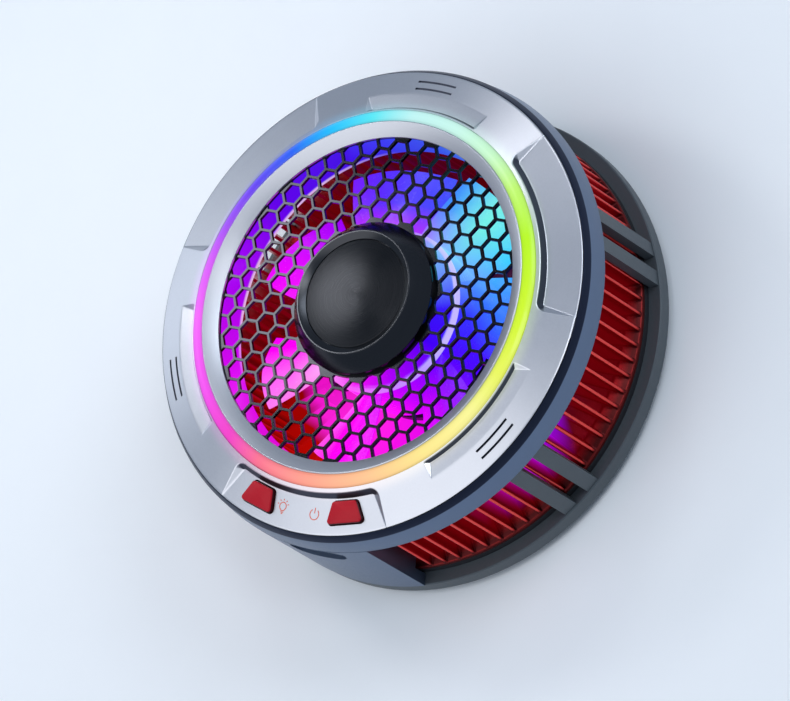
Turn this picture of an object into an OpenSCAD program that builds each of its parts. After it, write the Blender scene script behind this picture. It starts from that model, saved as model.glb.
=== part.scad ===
// Round magnetic cooling fan for a phone: honeycomb grille, light ring and a crown of heat sink fins.
// The face that touches the phone lies at z = 0, the fan turns about z and the buttons face -y.

/* [Body] */
// Widest diameter, at the lower edge of the side band
body_d = 69; // [67:0.5:75]
// Height from the phone to the rim of the face
body_h = 23.6; // [22:0.1:27]
// Height of the shell, from its floor to the rim of the face
shell_h = 4.4; // [4.3:0.1:6]
// Wall of the shell and of the port block
shell_wall = 1.2; // [0.9:0.1:1.5]
// Floor of the shell
shell_floor = 0.7; // [0.6:0.1:1]
// Width of the chamfer around the face
chamfer_w = 0.65; // [0.4:0.05:0.8]
// Height of the chamfer around the face
chamfer_h = 1.2; // [0.6:0.1:1.5]
// Draw-in of the side band towards its upper edge
band_taper = 0.4; // [0:0.05:0.5]

/* [Face] */
// Radial width of the face, from its rim to the light ring
face_w = 6.2; // [6:0.1:6.8]
// Rise of the face from its rim to the light ring
face_rise = 2.0; // [1.8:0.1:2.4]
// Thickness of the face at its rim
face_t = 1.2; // [0.9:0.1:1.6]
// Lip between the light ring and the panels
face_lip = 0.6; // [0.4:0.05:0.7]
// Half angle of each sunk panel
panel_half = 24.8; // [21:0.2:26]
// Slope of the sunk panels, in degrees
panel_lean = 10; // [9:0.5:13]
// Width of the bevel at the inner edge of a panel
panel_bevel = 0.6; // [0.4:0.05:0.8]
// Lean of the end walls of panels and recesses
end_lean = 54; // [45:1:70]
// Half angle of each arc recess
recess_half = 19.5; // [14:0.5:22]
// Lip between the light ring and the arc recesses
recess_lip = 0.25; // [0.2:0.05:0.4]
// Radial width of an arc recess
recess_w = 2.5; // [1.5:0.1:2.7]
// Depth of an arc recess at its inner edge
recess_depth = 0.55; // [0.3:0.05:0.7]
// Length of the engraved dashes
dash_l = 6.2; // [3:0.1:8]
// Width of the engraved dashes
dash_w = 0.32; // [0.2:0.02:0.5]
// Spacing of the two engraved dashes
dash_gap = 1.15; // [0.8:0.05:1.3]
// Depth of the engraved dashes
dash_depth = 0.3; // [0.2:0.05:0.5]

/* [Light ring and grille] */
// Radial width of the funnel between the grille and the light ring
bezel_w = 2.1; // [1.8:0.1:2.4]
// Radial width of the light ring
light_w = 1.7; // [1.4:0.05:2]
// Rise of the light ring from its outer to its inner edge
light_rise = 0.7; // [0.3:0.1:0.8]
// Depth of the grille below the outer edge of the light ring
grille_drop = 0.8; // [0.7:0.1:1.2]
// Thickness of the grille
grille_t = 0.5; // [0.4:0.1:1.2]
// Spacing of the honeycomb cells
cell_pitch = 2.86; // [2.4:0.02:3.4]
// Wall between two cells
cell_wall = 0.38; // [0.3:0.02:0.7]
// Diameter of the hub cap
hub_d = 21.9; // [18:0.1:23]
// Depth of the inlaid disc below the rim of the hub cap
disc_sink = 0.6; // [0.1:0.1:0.8]
// Height of the hub cap above the grille
hub_h = 3.4; // [2.4:0.1:4]
// Height of the straight collar under the cone of the hub cap
hub_collar = 0.8; // [0.4:0.1:1.4]
// Diameter of the rim on top of the hub cap
hub_rim_d = 17.9; // [15:0.1:18]
// Width of the rim on top of the hub cap
hub_rim_w = 1.1; // [0.6:0.1:2]

/* [Buttons] */
// Angle of each button from the middle of its panel
button_angle = 13.7; // [12:0.1:15]
// Radial length of a button
button_l = 3.1; // [2.4:0.1:3.4]
// Width of a button at its inner end
button_w_in = 3.7; // [2.4:0.1:4]
// Width of a button at its outer end
button_w_out = 5.8; // [4:0.1:6]
// Height of a button above its panel
button_rise = 0.7; // [0.4:0.1:1]
// Travel of a button
button_travel = 0.25; // [0.15:0.05:0.3]

/* [Heat sink] */
// Number of fins in a full turn
fin_count = 90; // [60:2:100]
// Thickness of a fin
fin_t = 0.45; // [0.35:0.05:0.6]
// Distance of the fin edges inside the widest diameter
fin_inset = 2.05; // [1.9:0.05:2.7]
// Thickness of the plate
plate_t = 2.2; // [2:0.1:3]
// Height of the low fins under the fan
low_fin_h = 2.6; // [1.5:0.1:3]
// Turn of the first fin
fin_turn = 0.6; // [0:0.1:4]

/* [Fan] */
// Number of blades
blade_count = 7; // [5:1:9]
// Gap between the blade tips and the wall of the duct
tip_gap = 1.7; // [0.8:0.1:2.4]
// Diameter of the fan hub
fan_hub_d = 23.6; // [22.8:0.1:25]
// Share of the pitch that a blade covers
blade_cover = 0.76; // [0.5:0.02:0.9]
// Height that a blade climbs
blade_h = 6.6; // [4:0.1:7]
// Thickness of a blade
blade_t = 0.8; // [0.6:0.1:1.2]
// Sweep of a blade from root to tip, in degrees
blade_sweep = -6; // [-15:1:15]
// Gap between the fan hub and the grille
fan_gap = 3.9; // [2.5:0.1:4.5]
// Diameter of the shaft
shaft_d = 2; // [1.6:0.1:2.4]
// Radial running clearance of the shaft
shaft_clear = 0.03; // [0.01:0.01:0.06]

/* [Base] */
// Thickness of the soft pad that meets the phone
pad_t = 0.6; // [0.4:0.1:0.8]
// Height of the tray
tray_h = 3.0; // [2.8:0.1:3.4]
// Floor of the tray
tray_floor = 2.0; // [1.8:0.1:2.2]
// Distance of the tray edge inside the widest diameter
tray_inset = 0.1; // [0.1:0.1:0.4]
// Width of a post
post_w = 2.2; // [1.6:0.1:2.8]
// Angle between the two posts of a pair
post_angle = 7.5; // [6:0.1:10]
// Distance of the corners of the square cooling module inside the edge of the tray
module_edge = 13.2; // [12.8:0.1:14.4]
// Thickness of the cooling module
module_t = 2.4; // [2.2:0.1:3]
// Width of the foam outside the corners of the cooling module
foam_edge = 1.1; // [0.8:0.1:1.4]
// Thickness of the cold plate
cold_t = 1.8; // [1.7:0.1:2.2]
// Width of the magnet ring
magnet_w = 3.6; // [2.8:0.1:4]
// Thickness of the magnets
magnet_t = 1.1; // [0.8:0.1:1.2]
// Number of magnets
magnet_count = 16; // [8:1:20]

/* [Port] */
// Side wall of the port block
block_wall = 1.1; // [0.9:0.1:1.8]
// Width of the socket
socket_w = 8.94; // [8.94]
// Height of the socket
socket_h = 3.26; // [3.26]
// Length of the socket
socket_l = 7.3; // [6.5:0.1:7.5]

/* [Hidden] */
$fn = 96;

// Clearance of pieces that lie side by side
fit = 0.05;
// Clearance of pieces that slide or turn past each other
slip = 0.3;
// Overlap of cutting shapes past the surface that they cut
cut = 1;

// Radii, from the outside in
body_r = body_d / 2;
shoulder_r = body_r - band_taper;
face_r = shoulder_r - chamfer_w;
shell_in = shoulder_r - shell_wall;
tray_r = body_r - tray_inset;
fin_ro = body_r - fin_inset;
plate_edge = 0.05;
plate_r = fin_ro + plate_edge;
post_ri = plate_r + slip;
post_ro = tray_r - slip;
face_ri = face_r - face_w;
panel_ri = face_ri + face_lip;
recess_ri = face_ri + recess_lip;
light_ro = face_ri - fit;
light_ri = light_ro - light_w;
grille_open_r = light_ri - bezel_w;
duct_t = 1.0;
duct_ro = grille_open_r + duct_t;
fin_lap = 0.4;
fin_ri = duct_ro - fin_lap;

// Heights, from the phone up
z_sink = cold_t + module_t;
z_plate = z_sink + plate_t;
z_face = body_h;
z_shell = z_face - shell_h;
z_deck = z_shell + shell_floor;
fin_h = z_shell - z_plate;
z_light = z_face + face_rise;
z_grille_top = z_light - grille_drop;
z_grille = z_grille_top - grille_t;
z_tray = pad_t;
z_rim = z_tray + tray_h;
z_tray_in = z_tray + tray_floor;
z_under_face = z_face - face_t;
sink_step = 0.5;
seal_w = 1;
z_lip = z_sink + sink_step;

// Slopes of the face and of its sunk panels, and their heights at a radius
face_slope = face_rise / face_w;
panel_slope = tan(panel_lean);
panel_step = 0.04;
function face_z(r) = z_light - face_slope * (r - face_ri);
function panel_z(r) = z_face - panel_step + panel_slope * (face_r - r);

// Hub cap
hub_pin_r = 2.6;
disc_r = hub_rim_d / 2 - hub_rim_w - fit;
disc_t = 0.5;

// Board in the shell
board_rest = 0.2;
board_t = 0.8;
board_ri = light_ri + 0.1;
board_ro = shell_in - slip;
z_board = z_deck + board_rest;
z_board_top = z_board + board_t;
led_count = 24;
led_w = min(light_w - 0.25, 1.5);
led_h = 0.7;
chip_w = 4;
chip_h = 1.3;
low_chip_h = 0.8;
coil_w = 3;
coil_l = 4.4;

// Buttons and the switches under them
button_r = panel_ri + panel_bevel + 0.35 + button_l / 2;
button_gap = 0.2;
button_round = 0.45;
button_edge = 0.3;
button_flange = 0.5;
button_flange_t = 0.4;
panel_t = face_t - panel_step + panel_slope * (face_r - shell_in);
flange_low = -panel_t * cos(panel_lean) - slip - button_flange_t;
switch_w = 3.4;
switch_d = 2.8;
switch_r = button_r + flange_low * sin(panel_lean);
plunger_r = 0.7;
plunger_h = 0.3;
z_plunger = panel_z(button_r) + flange_low * cos(panel_lean) - plunger_r * panel_slope - button_travel - 0.05;

// Fan and motor
hub_r = fan_hub_d / 2;
hub_skin = 0.9;
hub_top_t = 1.2;
hub_round = 1.0;
tip_r = grille_open_r - tip_gap;
shaft_r = shaft_d / 2;
z_fan_top = z_grille - fan_gap;
z_fan_in = z_fan_top - hub_top_t;
motor_base_t = 1.2;
z_motor = z_plate + motor_base_t;
motor_board_t = 0.8;
z_motor_board = z_motor + 0.8;
z_skirt = z_motor_board + motor_board_t + 0.6;
sleeve_t = 1.5;
sleeve_r = shaft_r + shaft_clear + sleeve_t;
tube_t = 0.7;
tube_r = sleeve_r + tube_t;
boss_r = shaft_r + 1.6;
boss_h = 1.4;
z_sleeve_top = z_fan_in - boss_h - slip;
clip_t = 0.35;
clip_bite = 0.2;
z_clip = z_motor + 0.25;
z_sleeve = z_clip + clip_t + slip;
yoke_r = hub_r - hub_skin - fit;
yoke_t = 0.8;
magnet_ro = yoke_r - yoke_t - fit;
rotor_magnet_t = 1.2;
stator_r = magnet_ro - rotor_magnet_t - 0.4;
stator_h = 3.6;
z_stator = z_motor_board + motor_board_t + 1.4;
pole_count = 6;
ear_r = hub_r + 2.4;
ear_w = 4.4;
ear_turns = [90, 210, 330];
motor_bore = 0.8;

// Base
screw_r = 0.8;
screw_head_r = 1.5;
screw_head_t = 1.0;
screw_bite = 1.6;
boss_wall = 0.3;
screw_boss_r = screw_head_r + boss_wall;
base_screw_r = plate_r - seal_w - slip - screw_boss_r;
base_screw_turns = [45, 135, 225, 315];
tray_foot = 0.8;
rim_edge = 0.15;
module_corner_r = tray_r - module_edge;
module_w = sqrt(2) * module_corner_r;
cold_lip = 1.1;
cold_flange_t = 0.6;
flange_r = module_corner_r + foam_edge;
cold_r = flange_r - cold_lip;
tray_ri = cold_r + fit;
well_r = flange_r + fit;
magnet_wall = 1.2;
magnet_ri = well_r + magnet_wall;
magnet_floor = 0.7;
pad_ri = tray_ri + 0.8;
pad_ro = tray_r - 2.6;
tongue_h = 0.4;
tongue_t = 0.7;
pair_turns = [-30, 30, 90, 150, 210];

// Port block and leads
block_depth = 3.6;
block_ri = fin_ri + block_depth;
block_turn = -90;
z_socket = z_shell - 2 * fit - socket_h;
socket_y = -(body_r - 0.7);
socket_skin = 0.3;
lead_d = 1.1;
lead_r = plate_r - seal_w - lead_d / 2 - slip - 0.5;
lead_x = socket_w / 2 + 2 * slip + lead_d / 2;
lead_y = -sqrt(pow(lead_r, 2) - pow(lead_x, 2));
room_half = asin((lead_x + lead_d / 2 + 2 * slip) / lead_r);
block_half = room_half + atan(block_wall / lead_r);
lead_bend = 1.6;
z_lead = (z_tray_in + z_sink) / 2;
ribbon_w = 2.4;
ribbon_t = 0.7;
ribbon_x = -2.5;
ribbon_end = -8.2;
riser_l = 1.4;
riser_x = -lead_x - ribbon_t / 2;
riser_y = lead_y - lead_d / 2 - slip - riser_l;
ribbon_tab = -5;

module ring(r_in, r_out, z, h) {
    translate([0, 0, z]) difference() {
        cylinder(r = r_out, h = h);
        translate([0, 0, -cut]) cylinder(r = r_in, h = h + 2 * cut);
    }
}

// Part of a ring, centred on the +x direction
module arc_block(r_in, r_out, half, z, h) {
    translate([0, 0, z]) rotate(-half) rotate_extrude(angle = 2 * half)
        translate([r_in, 0]) square([r_out - r_in, h]);
}

// Everything within an angle of the +x direction, with end planes that hang on straight lines of the face
module between_ends(half) {
    reach = 2 * body_r;
    intersection_for(side = [-1, 1])
        rotate(side * half) translate([face_r, 0, z_face]) rotate([0, atan(face_slope), 0])
            rotate([-side * end_lean, 0, 0])
                translate([-reach, side > 0 ? -2 * reach : 0, -reach])
                    cube([2 * reach, 2 * reach, 2 * reach]);
}

// Cut of a sunk panel: a bevel at the inner edge and a floor that meets the rim of the face
module panel_cut() {
    top_z = z_light + cut;
    low_r = panel_ri + panel_bevel;
    edge_r = body_r + cut;
    lean = panel_bevel / (face_z(panel_ri) - panel_z(low_r));
    intersection() {
        rotate_extrude() polygon([
            [panel_ri - lean * (top_z - face_z(panel_ri)), top_z],
            [low_r, panel_z(low_r)],
            [edge_r, panel_z(edge_r)],
            [edge_r, top_z]
        ]);
        between_ends(panel_half);
    }
}

// Cut of an arc recess: deepest near its inner edge, running out on the face
module recess_cut() {
    top_z = z_light + cut;
    deep_r = recess_ri + recess_depth / 2;
    end_r = recess_ri + recess_w;
    intersection() {
        rotate_extrude() polygon([
            [recess_ri, face_z(recess_ri)],
            [deep_r, face_z(deep_r) - recess_depth],
            [end_r, face_z(end_r)],
            [end_r + cut, top_z],
            [recess_ri - recess_depth, top_z]
        ]);
        between_ends(recess_half);
    }
}

// Two engraved dashes, bent around the axis
module dash_cuts() {
    dash_r = face_r - 1.85 * dash_gap;
    dash_half = asin(dash_l / 2 / dash_r);
    for (r = [dash_r - dash_gap / 2, dash_r + dash_gap / 2])
        arc_block(r - dash_w / 2, r + dash_w / 2, dash_half, face_z(r) - dash_depth, 2 * cut);
}

// Outline of a button, its narrow end towards the axis
module button_outline(grow) {
    round_r = button_round + grow;
    tilt = atan((button_w_out - button_w_in) / 2 / button_l);
    inset = button_round * (1 / cos(tilt) - tan(tilt));
    outset = button_round * (1 / cos(tilt) + tan(tilt));
    x = button_l / 2 - button_round;
    y_in = button_w_in / 2 - inset;
    y_out = button_w_out / 2 - outset;
    side_x = round_r * sin(tilt);
    side_y = round_r * cos(tilt);
    for (end = [[-x, y_in], [x, y_out]]) for (side = [-1, 1])
        translate([end[0], side * end[1]]) circle(r = round_r);
    polygon([
        [-x - round_r, -y_in],
        [-x - side_x, -y_in - side_y],
        [x - side_x, -y_out - side_y],
        [x + round_r, -y_out],
        [x + round_r, y_out],
        [x - side_x, y_out + side_y],
        [-x - side_x, y_in + side_y],
        [-x - round_r, y_in]
    ]);
}

// Frame of a button: its origin lies on the panel and its z stands upright on the panel
module at_button(side) {
    rotate(block_turn + side * button_angle) translate([button_r, 0, panel_z(button_r)])
        rotate([0, panel_lean, 0]) children();
}

module face_ring() {
    color("silver") difference() {
        rotate_extrude() polygon([
            [face_ri, z_under_face + panel_slope * (shell_in - face_ri)],
            [shell_in, z_under_face],
            [face_r - fit, z_under_face],
            [face_r - fit, z_face],
            [face_ri, z_light]
        ]);
        for (turn = [-90, 30, 150]) rotate(turn) panel_cut();
        for (turn = [-30, 90, 210]) rotate(turn) {
            recess_cut();
            dash_cuts();
        }
        for (side = [-1, 1]) at_button(side)
            translate([0, 0, -2 * panel_t]) linear_extrude(2 * panel_t + face_rise + cut)
                button_outline(button_gap);
    }
}

module upper_shell() {
    way_h = shell_floor + board_rest + 2 * cut;
    color("lightsteelblue") difference() {
        union() {
            rotate_extrude() polygon([
                [duct_ro + fit, z_shell],
                [body_r, z_shell],
                [shoulder_r, z_face - chamfer_h],
                [face_r, z_face],
                [face_r, z_under_face],
                [shell_in, z_under_face],
                [shell_in, z_deck],
                [duct_ro + fit, z_deck]
            ]);
            for (r = [board_ri + 0.4, board_ro - 1]) ring(r, r + 0.6, z_deck - fit, board_rest + fit);
        }
        for (turn = pair_turns) rotate(turn)
            post_pair(z_shell - cut, tongue_h + fit + cut, fit, post_ri + tongue_t);
        // Way through the floor for the socket and the leads
        rotate(block_turn) intersection() {
            arc_block(block_ri + 0.3, shell_in - slip, room_half, z_shell - cut, way_h);
            translate([0, -lead_x - 1.5, 0]) cube([body_r, 2 * lead_x + 3, z_face]);
        }
    }
}

module light_ring() {
    z_low = z_board_top + led_h + slip;
    color("violet") rotate_extrude() polygon([
        [light_ri, z_low],
        [light_ro, z_low],
        [light_ro, z_light],
        [light_ro - 0.35 * light_w, z_light + 0.55 * light_rise],
        [light_ri + 0.25 * light_w, z_light + light_rise],
        [light_ri, z_light + light_rise]
    ]);
}

module inner_bezel() {
    lip_t = 0.35;
    z_low = z_deck + 0.6;
    z_high = z_light + light_rise;
    color("gainsboro") rotate_extrude() polygon([
        [duct_ro + fit, z_low],
        [light_ri - fit, z_low],
        [light_ri - fit, z_high - 0.1],
        [light_ri - fit - 0.15, z_high],
        [grille_open_r, z_grille_top + lip_t],
        [grille_open_r, z_grille_top],
        [duct_ro + fit, z_grille_top]
    ]);
}

// Honeycomb cells whose middles lie between two radii
module cells(r_in, r_out) {
    rows = ceil(r_out / cell_pitch) + 1;
    step = cell_pitch * cos(30);
    cell_r = (cell_pitch - cell_wall) / 2 / cos(30);
    for (i = [-rows:rows]) for (j = [-rows:rows]) {
        x = i * step;
        y = (j + (abs(i) % 2) / 2) * cell_pitch;
        r = norm([x, y]);
        if (r > r_in && r < r_out) translate([x, y]) circle(r = cell_r, $fn = 6);
    }
}

module grille() {
    edge_r = grille_open_r + 0.1;
    core_r = hub_d / 2 + 0.25;
    color("dimgray") translate([0, 0, z_grille]) linear_extrude(grille_t) difference() {
        circle(r = duct_ro);
        circle(r = hub_pin_r + fit);
        intersection() {
            cells(core_r - cell_pitch / 4, edge_r + cell_pitch / 6);
            difference() {
                circle(r = edge_r);
                circle(r = core_r);
            }
        }
    }
}

module hub_cap() {
    z_top = z_grille_top + hub_h;
    z_seat = z_top - disc_sink - disc_t;
    rim_round = 0.25;
    color("black") rotate_extrude() polygon([
        [0, z_grille - 0.4],
        [hub_pin_r, z_grille - 0.4],
        [hub_pin_r, z_grille_top],
        [hub_d / 2, z_grille_top],
        [hub_d / 2, z_grille_top + hub_collar],
        [hub_rim_d / 2, z_top - rim_round],
        [hub_rim_d / 2 - rim_round, z_top],
        [disc_r + fit, z_top],
        [disc_r + fit, z_seat],
        [0, z_seat]
    ]);
}

module hub_disc() {
    z_top = z_grille_top + hub_h - disc_sink;
    edge = 0.12;
    color("black") rotate_extrude() polygon([
        [0, z_top - disc_t],
        [disc_r, z_top - disc_t],
        [disc_r, z_top - edge],
        [disc_r - edge, z_top],
        [0, z_top]
    ]);
}

// Bevel along one top edge of a button, for an edge that faces +x
module button_bevel(z_top) {
    translate([-button_edge, 0, z_top]) rotate([0, 45, 0])
        translate([0, -button_w_out, 0]) cube([button_w_out, 2 * button_w_out, button_w_out]);
}

module button(side) {
    tilt = atan((button_w_out - button_w_in) / 2 / button_l);
    at_button(side) {
        translate([0, 0, flange_low]) linear_extrude(button_flange_t)
            button_outline(button_gap + button_flange);
        difference() {
            translate([0, 0, flange_low]) linear_extrude(button_rise - flange_low) button_outline(0);
            translate([button_l / 2, 0, 0]) button_bevel(button_rise);
            translate([-button_l / 2, 0, 0]) rotate(180) button_bevel(button_rise);
            for (hand = [-1, 1]) translate([0, hand * (button_w_in + button_w_out) / 4, 0])
                rotate(hand * (90 + tilt)) button_bevel(button_rise);
        }
    }
}

module light_button() { color("firebrick") button(-1); }
module power_button() { color("firebrick") button(1); }

module fan_duct() {
    color("mediumpurple") {
        rotate_extrude() polygon([
            [grille_open_r, z_shell],
            [duct_ro, z_shell],
            [duct_ro, z_deck],
            [light_ri - fit, z_deck],
            [light_ri - fit, z_deck + 0.6],
            [duct_ro, z_deck + 0.6],
            [duct_ro, z_grille],
            [grille_open_r, z_grille]
        ]);
    }
}

module main_board() {
    color("darkgreen") ring(board_ri, board_ro, z_board, board_t);
}

module led_chips() {
    color("white") for (k = [0:led_count - 1]) rotate((k + 0.5) * 360 / led_count)
        translate([(light_ri + light_ro - led_w) / 2, -led_w / 2, z_board_top]) cube([led_w, led_w, led_h]);
}

module tact_switches() {
    color("dimgray") for (side = [-1, 1])
        rotate(block_turn + side * button_angle) translate([switch_r, 0, 0]) {
            translate([-switch_d / 2, -switch_w / 2, z_board_top])
                cube([switch_d, switch_w, z_plunger - plunger_h - z_board_top]);
            translate([0, 0, z_plunger - plunger_h - fit]) cylinder(r = plunger_r, h = plunger_h + fit);
        }
}

// Chip on the board, with its width along the radius
module chip(turn, w, l, h) {
    chip_r = (light_ro + board_ro) / 2 + fit;
    rotate(turn) translate([chip_r - w / 2, -l / 2, z_board_top]) cube([w, l, h]);
}

module board_chips() {
    color("black") {
        chip(-55, chip_w, chip_w, low_chip_h);
        chip(-125, chip_w, chip_w, chip_h);
        chip(-40, coil_w, coil_l, chip_h);
        chip(-140, coil_w, coil_w, chip_h);
    }
}

// Rounded slot along x, standing in the xz plane
module slot_profile(w, h) {
    square([w - h, h], center = true);
    for (side = [-1, 1]) translate([side * (w - h) / 2, 0]) circle(r = h / 2, $fn = 48);
}

module socket_bar(w, h, y, l) {
    translate([0, y + l, z_socket + socket_h / 2]) rotate([90, 0, 0]) linear_extrude(l) slot_profile(w, h);
}

// Sector of a flat ring, centred on the +x direction
module sector(r_in, r_out, half) {
    intersection() {
        difference() {
            circle(r = r_out);
            circle(r = r_in);
        }
        polygon([[0, 0], [2 * r_out, -2 * r_out * tan(half)], [2 * r_out, 2 * r_out * tan(half)]]);
    }
}

module port_block() {
    notch = ribbon_w + 12 * slip;
    color("lightsteelblue") difference() {
        rotate(block_turn) translate([0, 0, z_rim]) linear_extrude(z_shell - z_rim) difference() {
            sector(block_ri, body_r, block_half);
            sector(block_ri + shell_wall, body_r - shell_wall, room_half);
        }
        // Room for the plate of the heat sink and the seal
        translate([0, 0, z_rim - cut]) cylinder(r = plate_r + slip, h = z_plate - z_rim + cut);
        socket_bar(socket_w + 2 * fit, socket_h + 2 * fit, -body_r - cut, body_r + cut - block_ri + cut);
        translate([ribbon_x - notch / 2, -block_ri - 2 * cut, z_plate - cut])
            cube([notch, 4 * cut, 2 * ribbon_t + cut]);
    }
}

module usb_c_socket() {
    tongue_w = 6.7;
    tongue_h = 0.7;
    leg_x = (socket_w - socket_h) / 2;
    leg_w = 0.7;
    color("silver") difference() {
        socket_bar(socket_w, socket_h, socket_y, socket_l);
        socket_bar(socket_w - 2 * socket_skin, socket_h - 2 * socket_skin,
                   socket_y - cut, socket_l - 1 + cut);
    }
    color("black") translate([-tongue_w / 2, socket_y + 0.8, z_socket + (socket_h - tongue_h) / 2])
        cube([tongue_w, socket_l - 1.7, tongue_h]);
    color("silver") for (x = [-leg_x, leg_x]) for (y = [socket_y + 2.2, -(block_ri + shell_wall + leg_w)])
        translate([x - leg_w / 2, y - leg_w / 2, z_socket + socket_h - socket_skin])
            cube([leg_w, leg_w, z_board - z_socket - socket_h + socket_skin]);
}

// Plan of the fins between two radii, every so many fins, none within an angle of the port
module fin_plan(r_in, r_out, every, clear) {
    pitch = 360 / fin_count;
    for (k = [0:every:fin_count - 1]) {
        turn = fin_turn + k * pitch;
        off = abs((turn - block_turn + 180) % 360 - 180);
        if (off > clear) rotate(turn) translate([r_in, -fin_t / 2]) square([r_out - r_in, fin_t]);
    }
}

module heatsink() {
    low_ri = ear_r + ear_w / 2 + slip;
    cove = 1.0;
    color("red") difference() {
        union() {
            rotate_extrude() polygon([
                [0, z_sink],
                [plate_r - seal_w, z_sink],
                [plate_r - seal_w, z_lip],
                [plate_r, z_lip],
                [plate_r, z_plate - cove],
                [plate_r - 2 * cove, z_plate],
                [0, z_plate]
            ]);
            translate([0, 0, z_plate - cove]) linear_extrude(fin_h + cove)
                fin_plan(fin_ri, fin_ro, 1, block_half + 1.2);
            translate([0, 0, z_plate - fit]) linear_extrude(low_fin_h + fit)
                fin_plan(low_ri, fin_ri + fit, 2, asin((ribbon_w / 2 - ribbon_x + 0.6) / low_ri));
        }
        for (turn = base_screw_turns) rotate(turn) translate([base_screw_r, 0, z_sink - cut])
            cylinder(r = screw_r, h = screw_bite + cut);
        for (turn = ear_turns) rotate(turn) translate([ear_r, 0, z_plate - screw_bite])
            cylinder(r = motor_bore, h = screw_bite + cut);
        for (side = [-1, 1]) translate([side * lead_x, lead_y, z_sink - cut])
            cylinder(r = lead_d / 2 + slip, h = plate_t + 2 * cut);
    }
}

module seal_ring() {
    color("black") ring(plate_r - seal_w + fit, plate_r, z_rim, z_lip - z_rim);
}

// Two flat posts side by side, between the heat sink and the edge of the tray
module post_pair(z, h, grow, r_out) {
    for (side = [-1, 1]) rotate(side * post_angle / 2) intersection() {
        ring(post_ri - grow, r_out + grow, z, h);
        translate([0, -post_w / 2 - grow, z]) cube([body_r, post_w + 2 * grow, h]);
    }
}

module base_tray() {
    rim_w = tray_r - plate_r + seal_w;
    color("slategray") difference() {
        union() {
            rotate_extrude() polygon([
                [tray_ri, z_tray],
                [tray_r - tray_foot, z_tray],
                [tray_r, z_tray + tray_foot],
                [tray_r, z_rim - rim_edge],
                [tray_r - rim_edge, z_rim],
                [tray_r - rim_w, z_rim],
                [tray_r - rim_w, z_tray_in],
                [well_r, z_tray_in],
                [well_r, z_tray + cold_flange_t],
                [tray_ri, z_tray + cold_flange_t]
            ]);
            for (turn = base_screw_turns) rotate(turn) translate([base_screw_r, 0, z_tray_in - fit])
                cylinder(r = screw_boss_r, h = z_sink - z_tray_in + fit);
            for (turn = pair_turns) rotate(turn) {
                post_pair(z_rim - fit, z_shell - z_rim + fit, 0, post_ro);
                post_pair(z_shell - fit, tongue_h + fit, 0, post_ri + tongue_t);
            }
        }
        ring(magnet_ri - fit, magnet_ri + magnet_w + fit, z_tray + magnet_floor, tray_floor);
        for (turn = base_screw_turns) rotate(turn) translate([base_screw_r, 0, z_tray - cut]) {
            cylinder(r = screw_r + fit, h = z_sink + cut);
            cylinder(r = screw_head_r + fit, h = screw_head_t + cut);
        }
    }
}

module base_screws() {
    slot_w = 0.4;
    slot_l = 1.2 * screw_head_r;
    color("dimgray") for (turn = base_screw_turns) rotate(turn) translate([base_screw_r, 0, z_tray]) {
        difference() {
            cylinder(r = screw_head_r, h = screw_head_t);
            for (spin = [0, 90]) rotate(spin) translate([-slot_l / 2, -slot_w / 2, -cut])
                cube([slot_l, slot_w, cut + screw_head_t / 2]);
        }
        translate([0, 0, screw_head_t - fit])
            cylinder(r = screw_r - fit, h = z_sink - z_tray - screw_head_t + screw_bite);
    }
}

module peltier_module() {
    plate = 0.65;
    inset = 0.9;
    color("white") translate([-module_w / 2, -module_w / 2, cold_t]) {
        cube([module_w, module_w, plate]);
        translate([inset, inset, plate - fit])
            cube([module_w - 2 * inset, module_w - 2 * inset, module_t - 2 * plate + 2 * fit]);
        translate([0, 0, module_t - plate]) cube([module_w, module_w, plate]);
    }
}

module insulation_foam() {
    room = 0.2;
    color("black") difference() {
        translate([0, 0, cold_t]) cylinder(r = flange_r, h = module_t);
        translate([-module_w / 2 - room, -module_w / 2 - room, cold_t - cut])
            cube([module_w + 2 * room, module_w + 2 * room, module_t + 2 * cut]);
        for (side = [-1, 1]) translate([side * lead_x - lead_d, -flange_r - cut, z_lead - lead_d / 2 - 0.1])
            cube([2 * lead_d, flange_r, module_t]);
    }
}

module cold_plate() {
    edge = 0.2;
    color("gainsboro") rotate_extrude() polygon([
        [0, 0],
        [cold_r - edge, 0],
        [cold_r, edge],
        [cold_r, z_tray + cold_flange_t],
        [flange_r, z_tray + cold_flange_t],
        [flange_r, cold_t],
        [0, cold_t]
    ]);
}

module magnet_ring() {
    pitch = 360 / magnet_count;
    half = pitch / 2 - 0.4;
    color("gray") for (k = [0:magnet_count - 1]) rotate(k * pitch)
        arc_block(magnet_ri, magnet_ri + magnet_w, half, z_tray + magnet_floor, magnet_t);
}

module contact_pad() {
    edge = 0.2;
    color("dimgray") rotate_extrude() polygon([
        [pad_ri + edge, 0],
        [pad_ro - edge, 0],
        [pad_ro, edge],
        [pad_ro, pad_t],
        [pad_ri, pad_t],
        [pad_ri, edge]
    ]);
}

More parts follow.
